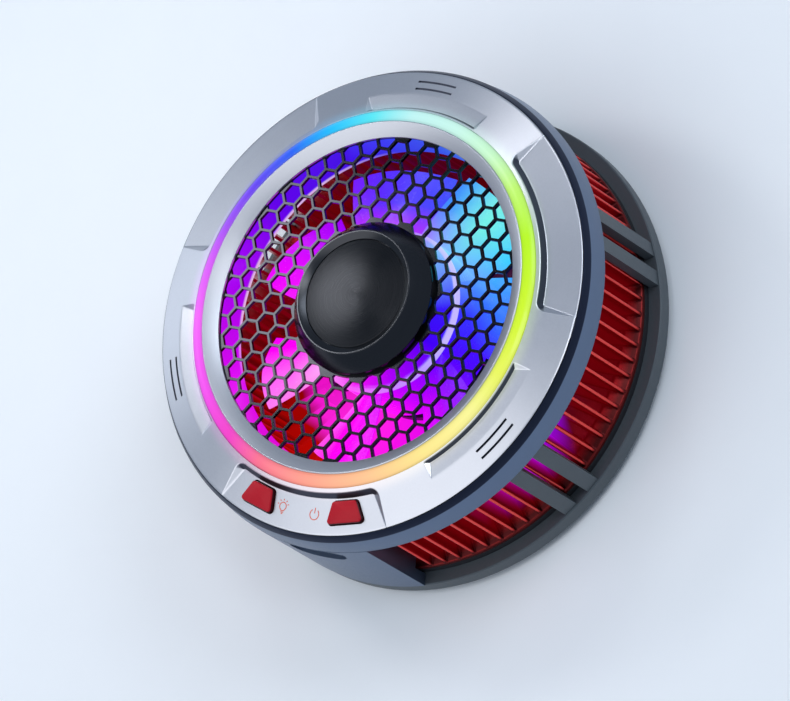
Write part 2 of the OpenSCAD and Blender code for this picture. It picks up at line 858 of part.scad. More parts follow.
module motor_base() {
    base_r = hub_r - 0.4;
    notch_w = ribbon_w + 2 * slip;
    color("black") difference() {
        union() {
            translate([0, 0, z_plate]) cylinder(r = base_r, h = motor_base_t);
            for (turn = ear_turns) rotate(turn) {
                translate([0, -ear_w / 2, z_plate]) cube([ear_r, ear_w, motor_base_t]);
                translate([ear_r, 0, z_plate]) cylinder(r = ear_w / 2, h = motor_base_t);
            }
            translate([0, 0, z_plate]) cylinder(r = tube_r, h = z_sleeve_top - z_plate);
        }
        translate([0, 0, z_motor]) cylinder(r = sleeve_r + fit, h = z_sleeve_top);
        for (turn = ear_turns) rotate(turn) translate([ear_r, 0, z_plate - cut])
            cylinder(r = motor_bore + 2 * fit, h = motor_base_t + 2 * cut);
        translate([ribbon_x - notch_w / 2, -hub_r - cut, z_plate - cut])
            cube([notch_w, hub_r + cut + ribbon_end + slip, motor_base_t + 2 * cut]);
    }
}

module motor_board() {
    color("darkgreen") ring(tube_r + fit, hub_r - hub_skin - 1.6, z_motor_board, motor_board_t);
    color("darkgreen") ring(tube_r + fit, tube_r + 1.2, z_motor, z_motor_board - z_motor + fit);
    color("darkgreen") translate([ribbon_x - ribbon_w / 2, ribbon_end - ribbon_t, z_motor_board])
        cube([ribbon_w, ribbon_tab - ribbon_end + ribbon_t, motor_board_t]);
}

module motor_screws() {
    head_t = 0.8;
    head_r = 1.5;
    color("dimgray") for (turn = ear_turns) rotate(turn) translate([ear_r, 0, z_motor]) {
        difference() {
            cylinder(r = head_r, h = head_t);
            for (spin = [0, 90]) rotate(spin) translate([-0.8, -0.18, head_t - 0.4]) cube([1.6, 0.36, cut]);
        }
        translate([0, 0, fit - motor_base_t - screw_bite])
            cylinder(r = motor_bore - fit, h = motor_base_t + screw_bite);
    }
}

module bearing_sleeve() {
    color("peru") ring(shaft_r + shaft_clear, sleeve_r, z_sleeve, z_sleeve_top - z_sleeve);
}

module stator_core() {
    yoke = 1.6;
    arm_w = 1.7;
    shoe_t = 0.9;
    shoe_half = 360 / pole_count / 2 - 7;
    color("gray") translate([0, 0, z_stator]) linear_extrude(stator_h) difference() {
        union() {
            circle(r = tube_r + fit + yoke);
            for (k = [0:pole_count - 1]) rotate(k * 360 / pole_count) {
                translate([0, -arm_w / 2]) square([stator_r - shoe_t / 2, arm_w]);
                intersection() {
                    difference() {
                        circle(r = stator_r);
                        circle(r = stator_r - shoe_t);
                    }
                    polygon([
                        [0, 0],
                        [2 * stator_r, -2 * stator_r * tan(shoe_half)],
                        [2 * stator_r, 2 * stator_r * tan(shoe_half)]
                    ]);
                }
            }
        }
        circle(r = tube_r + fit);
    }
    // Collar that stands the core on the motor board
    z_collar = z_motor_board + motor_board_t;
    color("gray") ring(tube_r + fit, tube_r + 1.2, z_collar, z_stator - z_collar + fit);
}

module stator_coils() {
    arm_w = 1.7;
    wind = 0.9;
    start = tube_r + 1.9;
    length = stator_r - 1.2 - start;
    color("darkorange") for (k = [0:pole_count - 1]) rotate(k * 360 / pole_count) difference() {
        translate([start, -arm_w / 2 - wind, z_stator - wind])
            cube([length, arm_w + 2 * wind, stator_h + 2 * wind]);
        translate([start - cut, -arm_w / 2 - fit, z_stator - fit])
            cube([length + 2 * cut, arm_w + 2 * fit, stator_h + 2 * fit]);
    }
}

// Blade surface: a point at a share of the radius (0 root, 1 tip) and of the chord (0 low, 1 high)
blade_root_r = hub_r - 0.4;
blade_pitch = 360 / blade_count;
blade_turn = 62.3;
z_blade_top = z_fan_top - hub_round - 0.1;
function blade_point(i, u, lift) =
    let (
        r = blade_root_r + (tip_r - blade_root_r) * i,
        span = blade_pitch * blade_cover * (1 - 0.1 * i),
        turn = span * (u - 0.5) + blade_sweep * i,
        climb = blade_h * (1 - 0.12 * i),
        bow = sin(180 * u),
        z = z_blade_top - blade_h + climb * u + 0.9 * bow + lift * blade_t * (0.35 + 0.65 * bow)
    )
    [r * cos(turn), r * sin(turn), z];

module blade() {
    nr = 5;
    nu = 8;
    row = nu + 1;
    layer = (nr + 1) * row;
    points = [
        for (side = [-0.5, 0.5]) for (i = [0:nr]) for (j = [0:nu]) blade_point(i / nr, j / nu, side)
    ];
    skin = [
        for (i = [0:nr - 1]) for (j = [0:nu - 1])
            let (a = i * row + j, b = a + 1, c = a + row, d = c + 1)
            each [[a, c, b], [b, c, d], [layer + a, layer + b, layer + c], [layer + b, layer + d, layer + c]]
    ];
    root_and_tip = [
        for (j = [0:nu - 1])
            let (a = j, b = j + 1, c = nr * row + j, d = c + 1)
            each [[a, b, layer + a], [b, layer + b, layer + a], [c, layer + c, d], [d, layer + c, layer + d]]
    ];
    edges = [
        for (i = [0:nr - 1])
            let (a = i * row, b = a + row, c = a + nu, d = c + row)
            each [[a, layer + a, b], [b, layer + a, layer + b], [c, d, layer + c], [d, layer + d, layer + c]]
    ];
    polyhedron(points = points, faces = concat(skin, root_and_tip, edges), convexity = 4);
}

module impeller() {
    color("magenta") {
        rotate_extrude() {
            polygon([
                [hub_r - hub_skin, z_skirt],
                [hub_r, z_skirt],
                [hub_r, z_fan_top - hub_round],
                [hub_r - hub_round, z_fan_top - hub_round],
                [hub_r - hub_round, z_fan_top],
                [0, z_fan_top],
                [0, z_fan_top - 0.5],
                [shaft_r, z_fan_top - 0.5],
                [shaft_r, z_fan_in - boss_h],
                [boss_r, z_fan_in - boss_h],
                [boss_r, z_fan_in],
                [hub_r - hub_skin, z_fan_in]
            ]);
            translate([hub_r - hub_round, z_fan_top - hub_round]) intersection() {
                circle(r = hub_round);
                square(hub_round);
            }
        }
        for (k = [0:blade_count - 1]) rotate(k * blade_pitch + blade_turn) blade();
    }
}

module rotor_yoke() {
    hole_r = boss_r + 0.4;
    top_t = 0.6;
    color("gray") rotate_extrude() polygon([
        [yoke_r - yoke_t, z_skirt + 0.4],
        [yoke_r, z_skirt + 0.4],
        [yoke_r, z_fan_in],
        [hole_r, z_fan_in],
        [hole_r, z_fan_in - top_t],
        [yoke_r - yoke_t, z_fan_in - top_t]
    ]);
}

module rotor_magnet() {
    color("dimgray") ring(magnet_ro - rotor_magnet_t, magnet_ro, z_stator - 0.6, stator_h + 1.2);
}

module fan_shaft() {
    color("silver") difference() {
        translate([0, 0, z_motor + 0.1]) cylinder(r = shaft_r, h = z_fan_top - 0.5 - z_motor - 0.1);
        ring(shaft_r - clip_bite, shaft_r + cut, z_clip, clip_t);
    }
}

module shaft_clip() {
    color("white") ring(shaft_r - clip_bite, sleeve_r - 0.3, z_clip, clip_t);
}

// Round lead that runs out under the heat sink and turns up into the port block
module lead(x) {
    y_start = -(module_w / 2 + fit);
    run = -(lead_y + lead_bend) + y_start;
    translate([x, y_start, z_lead]) rotate([90, 0, 0]) cylinder(r = lead_d / 2, h = run);
    translate([x, lead_y + lead_bend, z_lead + lead_bend]) rotate([0, 90, 0]) rotate(-90)
        rotate_extrude(angle = 90) translate([lead_bend, 0]) circle(r = lead_d / 2);
    translate([x, lead_y, z_lead + lead_bend]) cylinder(r = lead_d / 2, h = z_board - z_lead - lead_bend);
}

module module_leads() {
    color("red") lead(lead_x);
    color("black") lead(-lead_x);
}

// Flat lead that runs out on the heat sink, turns aside behind a round lead and climbs beside the socket
module fan_leads() {
    ribbon_in = ribbon_x - ribbon_w / 2;
    color("black") {
        translate([ribbon_in, riser_y, z_plate]) cube([ribbon_w, ribbon_end - riser_y, ribbon_t]);
        translate([ribbon_in, ribbon_end - ribbon_t, z_plate])
            cube([ribbon_w, ribbon_t, z_motor_board - z_plate]);
        translate([riser_x, riser_y, z_plate]) cube([ribbon_in - riser_x + ribbon_t, riser_l, ribbon_t]);
        translate([riser_x, riser_y, z_plate]) cube([ribbon_t, riser_l, z_board - z_plate]);
    }
}

face_ring();
upper_shell();
light_ring();
inner_bezel();
grille();
hub_cap();
hub_disc();
light_button();
power_button();
fan_duct();
main_board();
led_chips();
tact_switches();
board_chips();
port_block();
usb_c_socket();
heatsink();
seal_ring();
base_tray();
base_screws();
peltier_module();
insulation_foam();
cold_plate();
magnet_ring();
contact_pad();
motor_base();
motor_board();
motor_screws();
bearing_sleeve();
stator_core();
stator_coils();
impeller();
rotor_yoke();
rotor_magnet();
fan_shaft();
shaft_clip();
module_leads();
fan_leads();
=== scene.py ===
"""Visible pieces, finishes and stage of a round magnetic cooling fan for phones."""

import math

import bmesh
import bpy
from mathutils import Matrix, Vector


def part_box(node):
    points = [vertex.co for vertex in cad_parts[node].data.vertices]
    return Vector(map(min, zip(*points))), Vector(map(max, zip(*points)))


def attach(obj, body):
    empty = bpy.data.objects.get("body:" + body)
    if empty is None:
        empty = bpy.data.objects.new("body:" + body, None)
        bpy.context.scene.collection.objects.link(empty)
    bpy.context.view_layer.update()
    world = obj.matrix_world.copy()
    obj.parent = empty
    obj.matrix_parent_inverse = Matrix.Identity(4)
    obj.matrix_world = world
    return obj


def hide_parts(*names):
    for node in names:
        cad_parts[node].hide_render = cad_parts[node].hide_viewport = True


bl_info = {
    "name": "Phone cooling fan",
    "version": (1, 0, 0),
    "blender": (4, 5, 0),
    "location": "View3D > Sidebar > Cooler",
    "description": "Builds the visible pieces, finishes and stage of a round phone cooling fan",
    "category": "Object",
}

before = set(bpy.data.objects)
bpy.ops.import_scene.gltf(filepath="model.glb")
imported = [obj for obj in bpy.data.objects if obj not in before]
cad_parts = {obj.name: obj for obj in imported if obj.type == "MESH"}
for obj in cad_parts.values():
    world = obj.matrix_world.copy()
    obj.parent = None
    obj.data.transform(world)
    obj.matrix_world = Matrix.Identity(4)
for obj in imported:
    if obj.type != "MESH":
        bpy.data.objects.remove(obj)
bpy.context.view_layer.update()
MM = 0.001


def top(node):
    """Highest point of a CAD node, in millimetres."""
    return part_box(node)[1][2] / MM


def bottom(node):
    """Lowest point of a CAD node, in millimetres."""
    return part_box(node)[0][2] / MM


def reach(node):
    """Outer radius of a round CAD node, in millimetres."""
    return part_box(node)[1][0] / MM


# Sizes that follow the solids, in millimetres
FACE_R = reach("face_ring")
FACE_UNDER = bottom("face_ring")
FACE_TOP = top("face_ring")
FACE_RIM = top("upper_shell")
SHELL_LOW = bottom("upper_shell")
BODY_R = reach("upper_shell")
LIGHT_R = reach("light_ring")
LIGHT_TOP = top("light_ring")
LIGHT_LOW = bottom("light_ring")
BEZEL_R = reach("inner_bezel")
BEZEL_LOW = bottom("inner_bezel")
GRILLE_TOP = top("grille")
GRILLE_LOW = bottom("grille")
GRILLE_R = reach("grille")
OPEN_R = GRILLE_R - 1.0
HUB_R = reach("hub_cap")
HUB_TOP = top("hub_cap")
DISC_R = reach("hub_disc")
DISC_TOP = top("hub_disc")
FAN_TOP = top("impeller")
FAN_LOW = bottom("impeller")
TIP_R = reach("impeller")
SINK_LOW = bottom("heatsink")
FIN_TOP = top("heatsink")
PLATE_R = reach("heatsink")

# Layout of the face, in degrees and millimetres
PANEL_TURNS = (-90, 30, 150)
RECESS_TURNS = (-30, 90, 210)
FACE_IN = LIGHT_R + 0.05
RIM_R = FACE_R + 0.05
SHOULDER_R = BODY_R - 0.4
WALL_IN = SHOULDER_R - 1.2
CHAMFER_LOW = FACE_RIM - 1.2
PANEL_IN = FACE_IN + 0.6
PANEL_FOOT = PANEL_IN + 0.6
PANEL_HALF = 24.8
PANEL_LEAN = math.radians(10)
RECESS_IN = FACE_IN + 0.25
RECESS_FOOT = RECESS_IN + 0.275
RECESS_END = RECESS_IN + 2.5
RECESS_DEPTH = 0.55
RECESS_HALF = 19.5
END_LEAN = math.radians(54)
CORNER_ROUND = 0.3
PANEL_CORNER = 1.4
RECESS_CORNER = 0.35
DASH_R = RIM_R - 1.85 * 1.15
DASH_GAP = 1.15
DASH_WIDTH = 0.32
DASH_HALF = 5.68
DASH_DEPTH = 0.3
PORT_TURN = -90
PORT_HALF = math.degrees(math.asin(reach("port_block") / BODY_R))
BUTTON_TURN = 13.7
BUTTON_R = PANEL_FOOT + 0.35 + 1.55
BUTTON_LENGTH = 3.1
BUTTON_IN = 3.7
BUTTON_OUT = 5.8
BUTTON_ROUND = 0.45
BUTTON_GAP = 0.2
BUTTON_RISE = 0.7
FLANGE_GROW = 0.7
FLANGE_LOW = -(1.16 + math.tan(PANEL_LEAN) * (RIM_R - WALL_IN)) * math.cos(PANEL_LEAN) - 0.7
FLANGE_TOP = FLANGE_LOW + 0.4

# View of the photograph, in the frame of the solids
VIEW_RIGHT = Vector((0.80708, 0.29818, -0.50961))
VIEW_UP = Vector((-0.14854, 0.93789, 0.31351))
VIEW_BACK = Vector((0.57144, -0.17733, 0.80125))
VIEW_FROM = Vector((0.785257, -0.247674, 1.115635))
VIEW_LENS = 455.7


def colour(name, description, value):
    """Colour property with three channels."""
    return bpy.props.FloatVectorProperty(
        name=name, description=description, default=value, size=3, min=0.0, max=1.0, subtype="COLOR"
    )


def length(name, description, millimetres):
    """Length property, given in millimetres and kept in metres."""
    return bpy.props.FloatProperty(
        name=name, description=description, default=millimetres * MM, min=0.0, unit="LENGTH"
    )


class CoolerSizes(bpy.types.PropertyGroup):
    """Sizes of the visible pieces."""

    cell_pitch: length("Cell pitch", "Spacing of the honeycomb cells", 2.86)
    cell_wall: length("Cell wall", "Wall between two honeycomb cells", 0.38)
    cell_bevel: length("Cell bevel", "Bevel around the mouth of a cell", 0.035)
    panel_depth_round: length("Panel round", "Rounding at the foot of the panel walls", 0.1)
    panel_edge_round: length("Panel edge", "Rounding at the upper edge of the panel walls", 0.06)
    button_edge: length("Button edge", "Bevel around the top of a button", 0.17)
    fin_thickness: length("Fin thickness", "Thickness of a heat sink fin", 0.45)
    fin_foot: length("Fin foot", "Fillet at the foot of a fin", 0.2)
    fin_count: bpy.props.IntProperty(name="Fins", description="Fins in a full turn", default=90, min=3)
    blade_count: bpy.props.IntProperty(name="Blades", description="Blades of the fan", default=7, min=2)


class CoolerColours(bpy.types.PropertyGroup):
    """Colours of the finishes."""

    silver: colour("Silver", "Satin face and funnel", (0.62, 0.63, 0.68))
    band: colour("Band", "Side band and port block", (0.125, 0.172, 0.262))
    # This colour is also the painted shade on the steep walls and dashes of the face.
    chamfer: colour("Chamfer", "Dark bevel around the face", (0.026, 0.033, 0.06))
    grille: colour("Grille", "Honeycomb plate", (0.025, 0.026, 0.03))
    hub: colour("Hub", "Turned cap in the middle", (0.05, 0.052, 0.058))
    button: colour("Button", "Two keys", (0.47, 0.008, 0.02))
    icon: colour("Icon", "Printed signs beside the keys", (0.78, 0.13, 0.07))
    fins: colour("Fins", "Anodised heat sink", (0.58, 0.004, 0.012))
    tray: colour("Tray", "Tray and posts", (0.075, 0.092, 0.105))
    floor: colour("Floor", "Floor of the stage", (0.90, 0.93, 0.96))


def sizes():
    """Sizes set in the scene."""
    return bpy.context.scene.cooler_sizes


def colours():
    """Colours set in the scene."""
    return bpy.context.scene.cooler_colours


# Mesh helpers


def mesh_object(name, points, faces, sharp=35):
    """Object from points in millimetres, smooth but for edges past an angle."""
    mesh = bpy.data.meshes.new(name)
    mesh.from_pydata([tuple(c * MM for c in p) for p in points], [], faces)
    shape = bmesh.new()
    shape.from_mesh(mesh)
    bmesh.ops.remove_doubles(shape, verts=shape.verts, dist=1e-7)
    bmesh.ops.dissolve_degenerate(shape, edges=shape.edges, dist=1e-8)
    bmesh.ops.recalc_face_normals(shape, faces=shape.faces)
    shape.to_mesh(mesh)
    shape.free()
    smooth(mesh, sharp)
    made = bpy.data.objects.new(name, mesh)
    bpy.context.scene.collection.objects.link(made)
    return made


def smooth(mesh, sharp):
    """Smooth shading with sharp edges past an angle in degrees."""
    mesh.shade_smooth()
    mesh.set_sharp_from_angle(angle=math.radians(sharp))


def revolve(name, loop, steps, closed=True, sharp=35):
    """Solid of revolution from a loop of (radius, height), in even steps."""
    return turned(name, [360 * k / steps for k in range(steps)], lambda turn: loop, closed, sharp)


def turned(name, turns, loop_at, closed=True, sharp=35):
    """Solid around the axis through the loops that a function gives at a list of turns."""
    rings = [loop_at(turn) for turn in turns]
    count = len(rings[0])
    points = []
    for turn, ring in zip(turns, rings):
        a = math.radians(turn)
        points.extend((r * math.cos(a), r * math.sin(a), z) for r, z in ring)
    faces = []
    last = count if closed else count - 1
    for k in range(len(turns)):
        here = k * count
        there = (k + 1) % len(turns) * count
        for j in range(last):
            after = (j + 1) % count
            faces.append((here + j, here + after, there + after, there + j))
    return mesh_object(name, points, faces, sharp)


def rounded(corners, steps=4):
    """Loop with rounded corners, from corners of (radius, height, rounding)."""
    loop = []
    count = len(corners)
    for k, (x, y, size) in enumerate(corners):
        here = Vector((x, y))
        if size <= 0:
            loop.append((x, y))
            continue
        before = (Vector(corners[k - 1][:2]) - here).normalized()
        after = (Vector(corners[(k + 1) % count][:2]) - here).normalized()
        half = before.angle(after) / 2
        run = size / math.tan(half)
        middle = here + (before + after).normalized() * size / math.sin(half)
        start = here + before * run - middle
        end = here + after * run - middle
        for s in range(steps + 1):
            spoke = start.slerp(end, s / steps)
            loop.append(tuple(middle + spoke.normalized() * size))
    return loop


def loft(name, loops, sharp=35):
    """Closed solid through loops of points that all have the same count, capped at both ends."""
    count = len(loops[0])
    points = [p for loop in loops for p in loop]
    faces = []
    for k in range(len(loops) - 1):
        low, high = k * count, (k + 1) * count
        for j in range(count):
            after = (j + 1) % count
            faces.append((low + j, low + after, high + after, high + j))
    faces.append(tuple(reversed(range(count))))
    faces.append(tuple(range((len(loops) - 1) * count, len(loops) * count)))
    return mesh_object(name, points, faces, sharp)


def settle(piece, sharp=35):
    """Turns the evaluated piece into a plain mesh and drops its modifiers."""
    bpy.context.view_layer.update()
    graph = bpy.context.evaluated_depsgraph_get()
    mesh = bpy.data.meshes.new_from_object(piece.evaluated_get(graph))
    piece.modifiers.clear()
    piece.data = mesh
    smooth(mesh, sharp)
    return piece


def carve(piece, cutter, sharp=35):
    """Cuts one mesh out of another and removes the cutter."""
    knife = piece.modifiers.new("Carve", "BOOLEAN")
    knife.operation = "DIFFERENCE"
    knife.solver = "EXACT"
    knife.object = cutter
    settle(piece, sharp)
    bpy.data.objects.remove(cutter)
    return piece


def joined(name, pieces, sharp=35):
    """One object from several, in the order given."""
    shape = bmesh.new()
    for piece in pieces:
        shape.from_mesh(piece.data)
        bpy.data.objects.remove(piece)
    mesh = bpy.data.meshes.new(name)
    shape.to_mesh(mesh)
    shape.free()
    smooth(mesh, sharp)
    made = bpy.data.objects.new(name, mesh)
    bpy.context.scene.collection.objects.link(made)
    return made


def place(piece, body, node, finish):
    """Lets a piece stand for a CAD node on a body, with a finish."""
    piece.data.materials.clear()
    piece.data.materials.append(finish)
    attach(piece, body)
    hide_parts(node)


def dress(node, finish):
    """Gives a CAD node a finish."""
    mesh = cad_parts[node].data
    mesh.materials.clear()
    mesh.materials.append(finish)


# Shader helpers


def add(tree, kind, inputs=None, **settings):
    """Adds a node, with its settings, and sets or links its inputs."""
    made = tree.nodes.new(kind)
    for key, value in settings.items():
        setattr(made, key, value)
    for key, value in (inputs or {}).items():
        if isinstance(value, bpy.types.NodeSocket):
            tree.links.new(value, made.inputs[key])
        else:
            made.inputs[key].default_value = value
    return made


def math_node(tree, operation, *values):
    """Output of a Math node."""
    return add(tree, "ShaderNodeMath", dict(enumerate(values)), operation=operation).outputs[0]


def ramp(tree, factor, stops):
    """Colour of a ramp with stops of (place, colour)."""
    made = add(tree, "ShaderNodeValToRGB", {"Fac": factor})
    made.color_ramp.interpolation = "LINEAR"
    elements = made.color_ramp.elements
    while len(elements) < len(stops):
        elements.new(0.5)
    for element, (spot, value) in zip(elements, sorted(stops)):
        element.position = spot
        element.color = (*value[:3], 1.0)
    return made.outputs["Color"]


def blend(tree, kind, factor, first, second):
    """Colour of a Mix node."""
    made = add(tree, "ShaderNodeMix", data_type="RGBA", blend_type=kind)
    for socket, value in zip((made.inputs[0], made.inputs[6], made.inputs[7]), (factor, first, second)):
        if isinstance(value, bpy.types.NodeSocket):
            tree.links.new(value, socket)
        else:
            socket.default_value = value
    return made.outputs[2]


def remap(tree, value, low, high, first=0.0, last=1.0, **settings):
    """Value carried from one span to another and held at its ends."""
    span = {"Value": value, "From Min": low, "From Max": high, "To Min": first, "To Max": last}
    return add(tree, "ShaderNodeMapRange", span, **settings).outputs[0]


def new_group(name, inputs, outputs):
    """Empty shader group with float inputs of (name, default) and named outputs."""
    tree = bpy.data.node_groups.new(name, "ShaderNodeTree")
    for label, default in inputs:
        socket = tree.interface.new_socket(label, in_out="INPUT", socket_type="NodeSocketFloat")
        socket.default_value = default
    for label in outputs:
        tree.interface.new_socket(label, in_out="OUTPUT", socket_type="NodeSocketFloat")
    return tree, tree.nodes.new("NodeGroupInput"), tree.nodes.new("NodeGroupOutput")


def grain_group():
    """Fine even grain, as on blasted metal and moulded plastic."""
    name = "Fine grain"
    if name in bpy.data.node_groups:
        return bpy.data.node_groups[name]
    tree, given, result = new_group(name, [("Scale", 2500.0), ("Contrast", 0.05)], ["Tone", "Height"])
    coord = add(tree, "ShaderNodeTexCoord").outputs["Object"]
    fine = add(tree, "ShaderNodeTexNoise", {"Vector": coord, "Scale": given.outputs["Scale"], "Detail": 2.0})
    wide_scale = math_node(tree, "MULTIPLY", given.outputs["Scale"], 0.04)
    wide = add(tree, "ShaderNodeTexNoise", {"Vector": coord, "Scale": wide_scale, "Detail": 3.0})
    both = math_node(tree, "ADD", fine.outputs[0], wide.outputs[0])
    centred = math_node(tree, "SUBTRACT", both, 1.0)
    tone = math_node(tree, "MULTIPLY_ADD", centred, given.outputs["Contrast"], 1.0)
    tree.links.new(tone, result.inputs["Tone"])
    tree.links.new(fine.outputs[0], result.inputs["Height"])
    return tree


def place_group():
    """Turn around the axis, radius and height of a point, in shares of a turn and millimetres."""
    name = "Place on the ring"
    if name in bpy.data.node_groups:
        return bpy.data.node_groups[name]
    tree, given, result = new_group(name, [], ["Turn", "Radius", "Height"])
    coord = add(tree, "ShaderNodeTexCoord").outputs["Object"]
    parts = add(tree, "ShaderNodeSeparateXYZ", {0: coord}).outputs
    angle = math_node(tree, "ARCTAN2", parts[1], parts[0])
    turn = math_node(tree, "MULTIPLY_ADD", angle, 0.5 / math.pi, 0.5)
    across = math_node(tree, "POWER", parts[0], 2.0)
    along = math_node(tree, "POWER", parts[1], 2.0)
    radius = math_node(tree, "SQRT", math_node(tree, "ADD", across, along))
    tree.links.new(turn, result.inputs["Turn"])
    tree.links.new(math_node(tree, "DIVIDE", radius, MM), result.inputs["Radius"])
    tree.links.new(math_node(tree, "DIVIDE", parts[2], MM), result.inputs["Height"])
    return tree


def turned_group():
    """Fine rings left by a lathe, as changes of tone and height with the radius."""
    name = "Turned rings"
    if name in bpy.data.node_groups:
        return bpy.data.node_groups[name]
    tree, given, result = new_group(name, [("Fineness", 14.0), ("Contrast", 0.3)], ["Tone", "Height"])
    where = add(tree, "ShaderNodeGroup", node_tree=place_group()).outputs
    along = math_node(tree, "MULTIPLY", where["Radius"], given.outputs["Fineness"])
    up = math_node(tree, "MULTIPLY", where["Height"], given.outputs["Fineness"])
    spread = math_node(tree, "MULTIPLY", where["Turn"], 3.0)
    spot = add(tree, "ShaderNodeCombineXYZ", {0: along, 1: up, 2: spread}).outputs[0]
    noise = {"Vector": spot, "Scale": 1.0, "Detail": 3.0, "Roughness": 0.7}
    rings = add(tree, "ShaderNodeTexNoise", noise).outputs[0]
    centred = math_node(tree, "SUBTRACT", rings, 0.5)
    tone = math_node(tree, "MULTIPLY_ADD", centred, given.outputs["Contrast"], 1.0)
    tree.links.new(tone, result.inputs["Tone"])
    tree.links.new(rings, result.inputs["Height"])
    return tree


class Finish:
    """Material with a Principled surface and a texture group that gives it tone, roughness and relief."""

    def __init__(self, name, metallic=0.0, coat=0.0, group=grain_group, **group_values):
        self.material = bpy.data.materials.new(name)
        self.material.use_nodes = True
        self.tree = self.material.node_tree
        self.surface = self.tree.nodes["Principled BSDF"]
        self.surface.inputs["Metallic"].default_value = metallic
        self.surface.inputs["Coat Weight"].default_value = coat
        self.grain = add(self.tree, "ShaderNodeGroup", node_tree=group())
        for key, value in group_values.items():
            self.grain.inputs[key.capitalize()].default_value = value

    def where(self):
        """Outputs that give a point's turn, radius and height."""
        return add(self.tree, "ShaderNodeGroup", node_tree=place_group()).outputs

    def paint(self, value):
        """Base colour, with the tone of the texture."""
        shade = value if isinstance(value, bpy.types.NodeSocket) else (*value[:3], 1.0)
        toned = blend(self.tree, "MULTIPLY", 1.0, shade, self.grain.outputs["Tone"])
        self.tree.links.new(toned, self.surface.inputs["Base Color"])
        return self

    def rough(self, low, high):
        """Roughness between two values, by the height of the texture."""
        spread = remap(self.tree, self.grain.outputs["Height"], 0.0, 1.0, low, high)
        self.tree.links.new(spread, self.surface.inputs["Roughness"])
        return self

    def relief(self, depth, strength=0.3):
        """Relief of the texture, with its depth in millimetres."""
        inputs = {"Height": self.grain.outputs["Height"], "Distance": depth * MM, "Strength": strength}
        bump = add(self.tree, "ShaderNodeBump", inputs)
        self.tree.links.new(bump.outputs[0], self.surface.inputs["Normal"])
        return self

    def glow(self, value, strength):
        """Light given off by the surface."""
        self.tree.links.new(value, self.surface.inputs["Emission Color"])
        self.surface.inputs["Emission Strength"].default_value = strength
        return self

    def set(self, **values):
        """Plain values on the surface's own inputs."""
        for key, value in values.items():
            self.surface.inputs[key.replace("_", " ")].default_value = value
        return self


def screen(red, green, blue):
    """Linear colour from the numbers of a screen colour."""
    return tuple((c / 255) ** 2.2 for c in (red, green, blue))


def wheel(stops):
    """Ramp stops around a turn from (degrees, screen colour), closed at the seam."""
    spots = sorted(((turn + 180) % 360 / 360, screen(*value)) for turn, value in stops)
    first, last = spots[0], spots[-1]
    share = (1 - last[0]) / (1 - last[0] + first[0])
    seam = tuple(a + (b - a) * share for a, b in zip(last[1], first[1]))
    return [(0.0, seam), *spots, (1.0, seam)]


LIGHT_WHEEL = [
    (92, (190, 242, 240)), (75, (198, 245, 232)), (60, (196, 246, 200)), (45, (190, 246, 110)),
    (28, (180, 245, 10)), (0, (208, 245, 40)), (-15, (230, 243, 85)), (-30, (244, 240, 140)),
    (-48, (250, 226, 130)), (-68, (252, 190, 135)), (-90, (252, 150, 130)), (-108, (248, 110, 140)),
    (-122, (240, 60, 195)), (-140, (240, 70, 235)), (-165, (240, 85, 245)), (178, (210, 70, 245)),
    (165, (150, 60, 238)), (150, (90, 55, 236)), (135, (25, 95, 240)), (120, (20, 190, 250)),
    (106, (85, 230, 242)),
]
# Painted light: glow colours of the blades by turn, for the coloured light that falls on them; the pale stops
# near -130 are painted highlights.
BLADE_WHEEL = [
    (92, (70, 75, 250)), (75, (60, 140, 250)), (58, (110, 240, 225)), (40, (60, 205, 255)),
    (15, (40, 130, 255)), (-10, (60, 50, 255)), (-35, (150, 15, 255)), (-65, (235, 0, 250)),
    (-100, (255, 0, 245)), (-132, (255, 125, 235)), (-160, (255, 0, 250)), (170, (235, 0, 255)),
    (140, (150, 10, 250)), (115, (90, 40, 250)),
]
BLADE_INNER_WHEEL = [
    (90, (190, 20, 255)), (60, (120, 190, 255)), (40, (110, 150, 255)), (10, (60, 30, 255)),
    (-20, (70, 0, 255)), (-60, (170, 0, 255)), (-95, (250, 20, 250)), (-130, (255, 175, 245)),
    (-160, (255, 60, 250)), (165, (250, 10, 255)), (130, (230, 10, 255)),
]
# Painted light: glow colours of the fan's light on the heat sink by turn, red between the fins.
SINK_SHARED = [
    (140, (100, 0, 21)), (112, (75, 0, 50)), (88, (79, 0, 12)), (62, (33, 0, 50)), (36, (21, 0, 50)),
    (10, (75, 0, 183)), (-20, (117, 8, 212)), (-60, (215, 0, 250)),
]
SINK_WHEEL = [
    *SINK_SHARED, (-90, (250, 20, 245)), (-130, (255, 40, 225)), (-160, (225, 10, 190)), (175, (150, 0, 80)),
]
SINK_OUTER_WHEEL = [
    *SINK_SHARED, (-88, (240, 10, 215)), (-102, (205, 20, 10)), (-135, (165, 12, 0)), (-162, (125, 5, 10)),
    (175, (110, 0, 25)),
]
# Radii between which the fins pass from the inner to the outer painted glow colours
SINK_CHANGE = (18.8, 21.4)
# Radius that the light reaches between the fins, as (degrees, radius)
LIGHT_REACH = [(-56, 25.2), (-48, 31.0), (-22, 31.0), (-14, 25.2)]
# Painted light: glow colours of the duct wall by turn.
DUCT_WHEEL = [
    (90, (50, 90, 250)), (60, (40, 150, 250)), (30, (40, 120, 240)), (-30, (140, 20, 240)),
    (-90, (235, 20, 230)), (-140, (230, 20, 250)), (180, (170, 10, 255)), (150, (85, 10, 240)),
    (120, (60, 30, 245)),
]
# Strength of the painted highlight on the edge of the fan's hub, by turn.
HUB_HIGHLIGHT_ARC = [(-180, 0.0), (-115, 0.0), (-85, 0.25), (-45, 0.5), (-10, 0.8), (60, 0.75), (95, 0.0), (180, 0.0)]
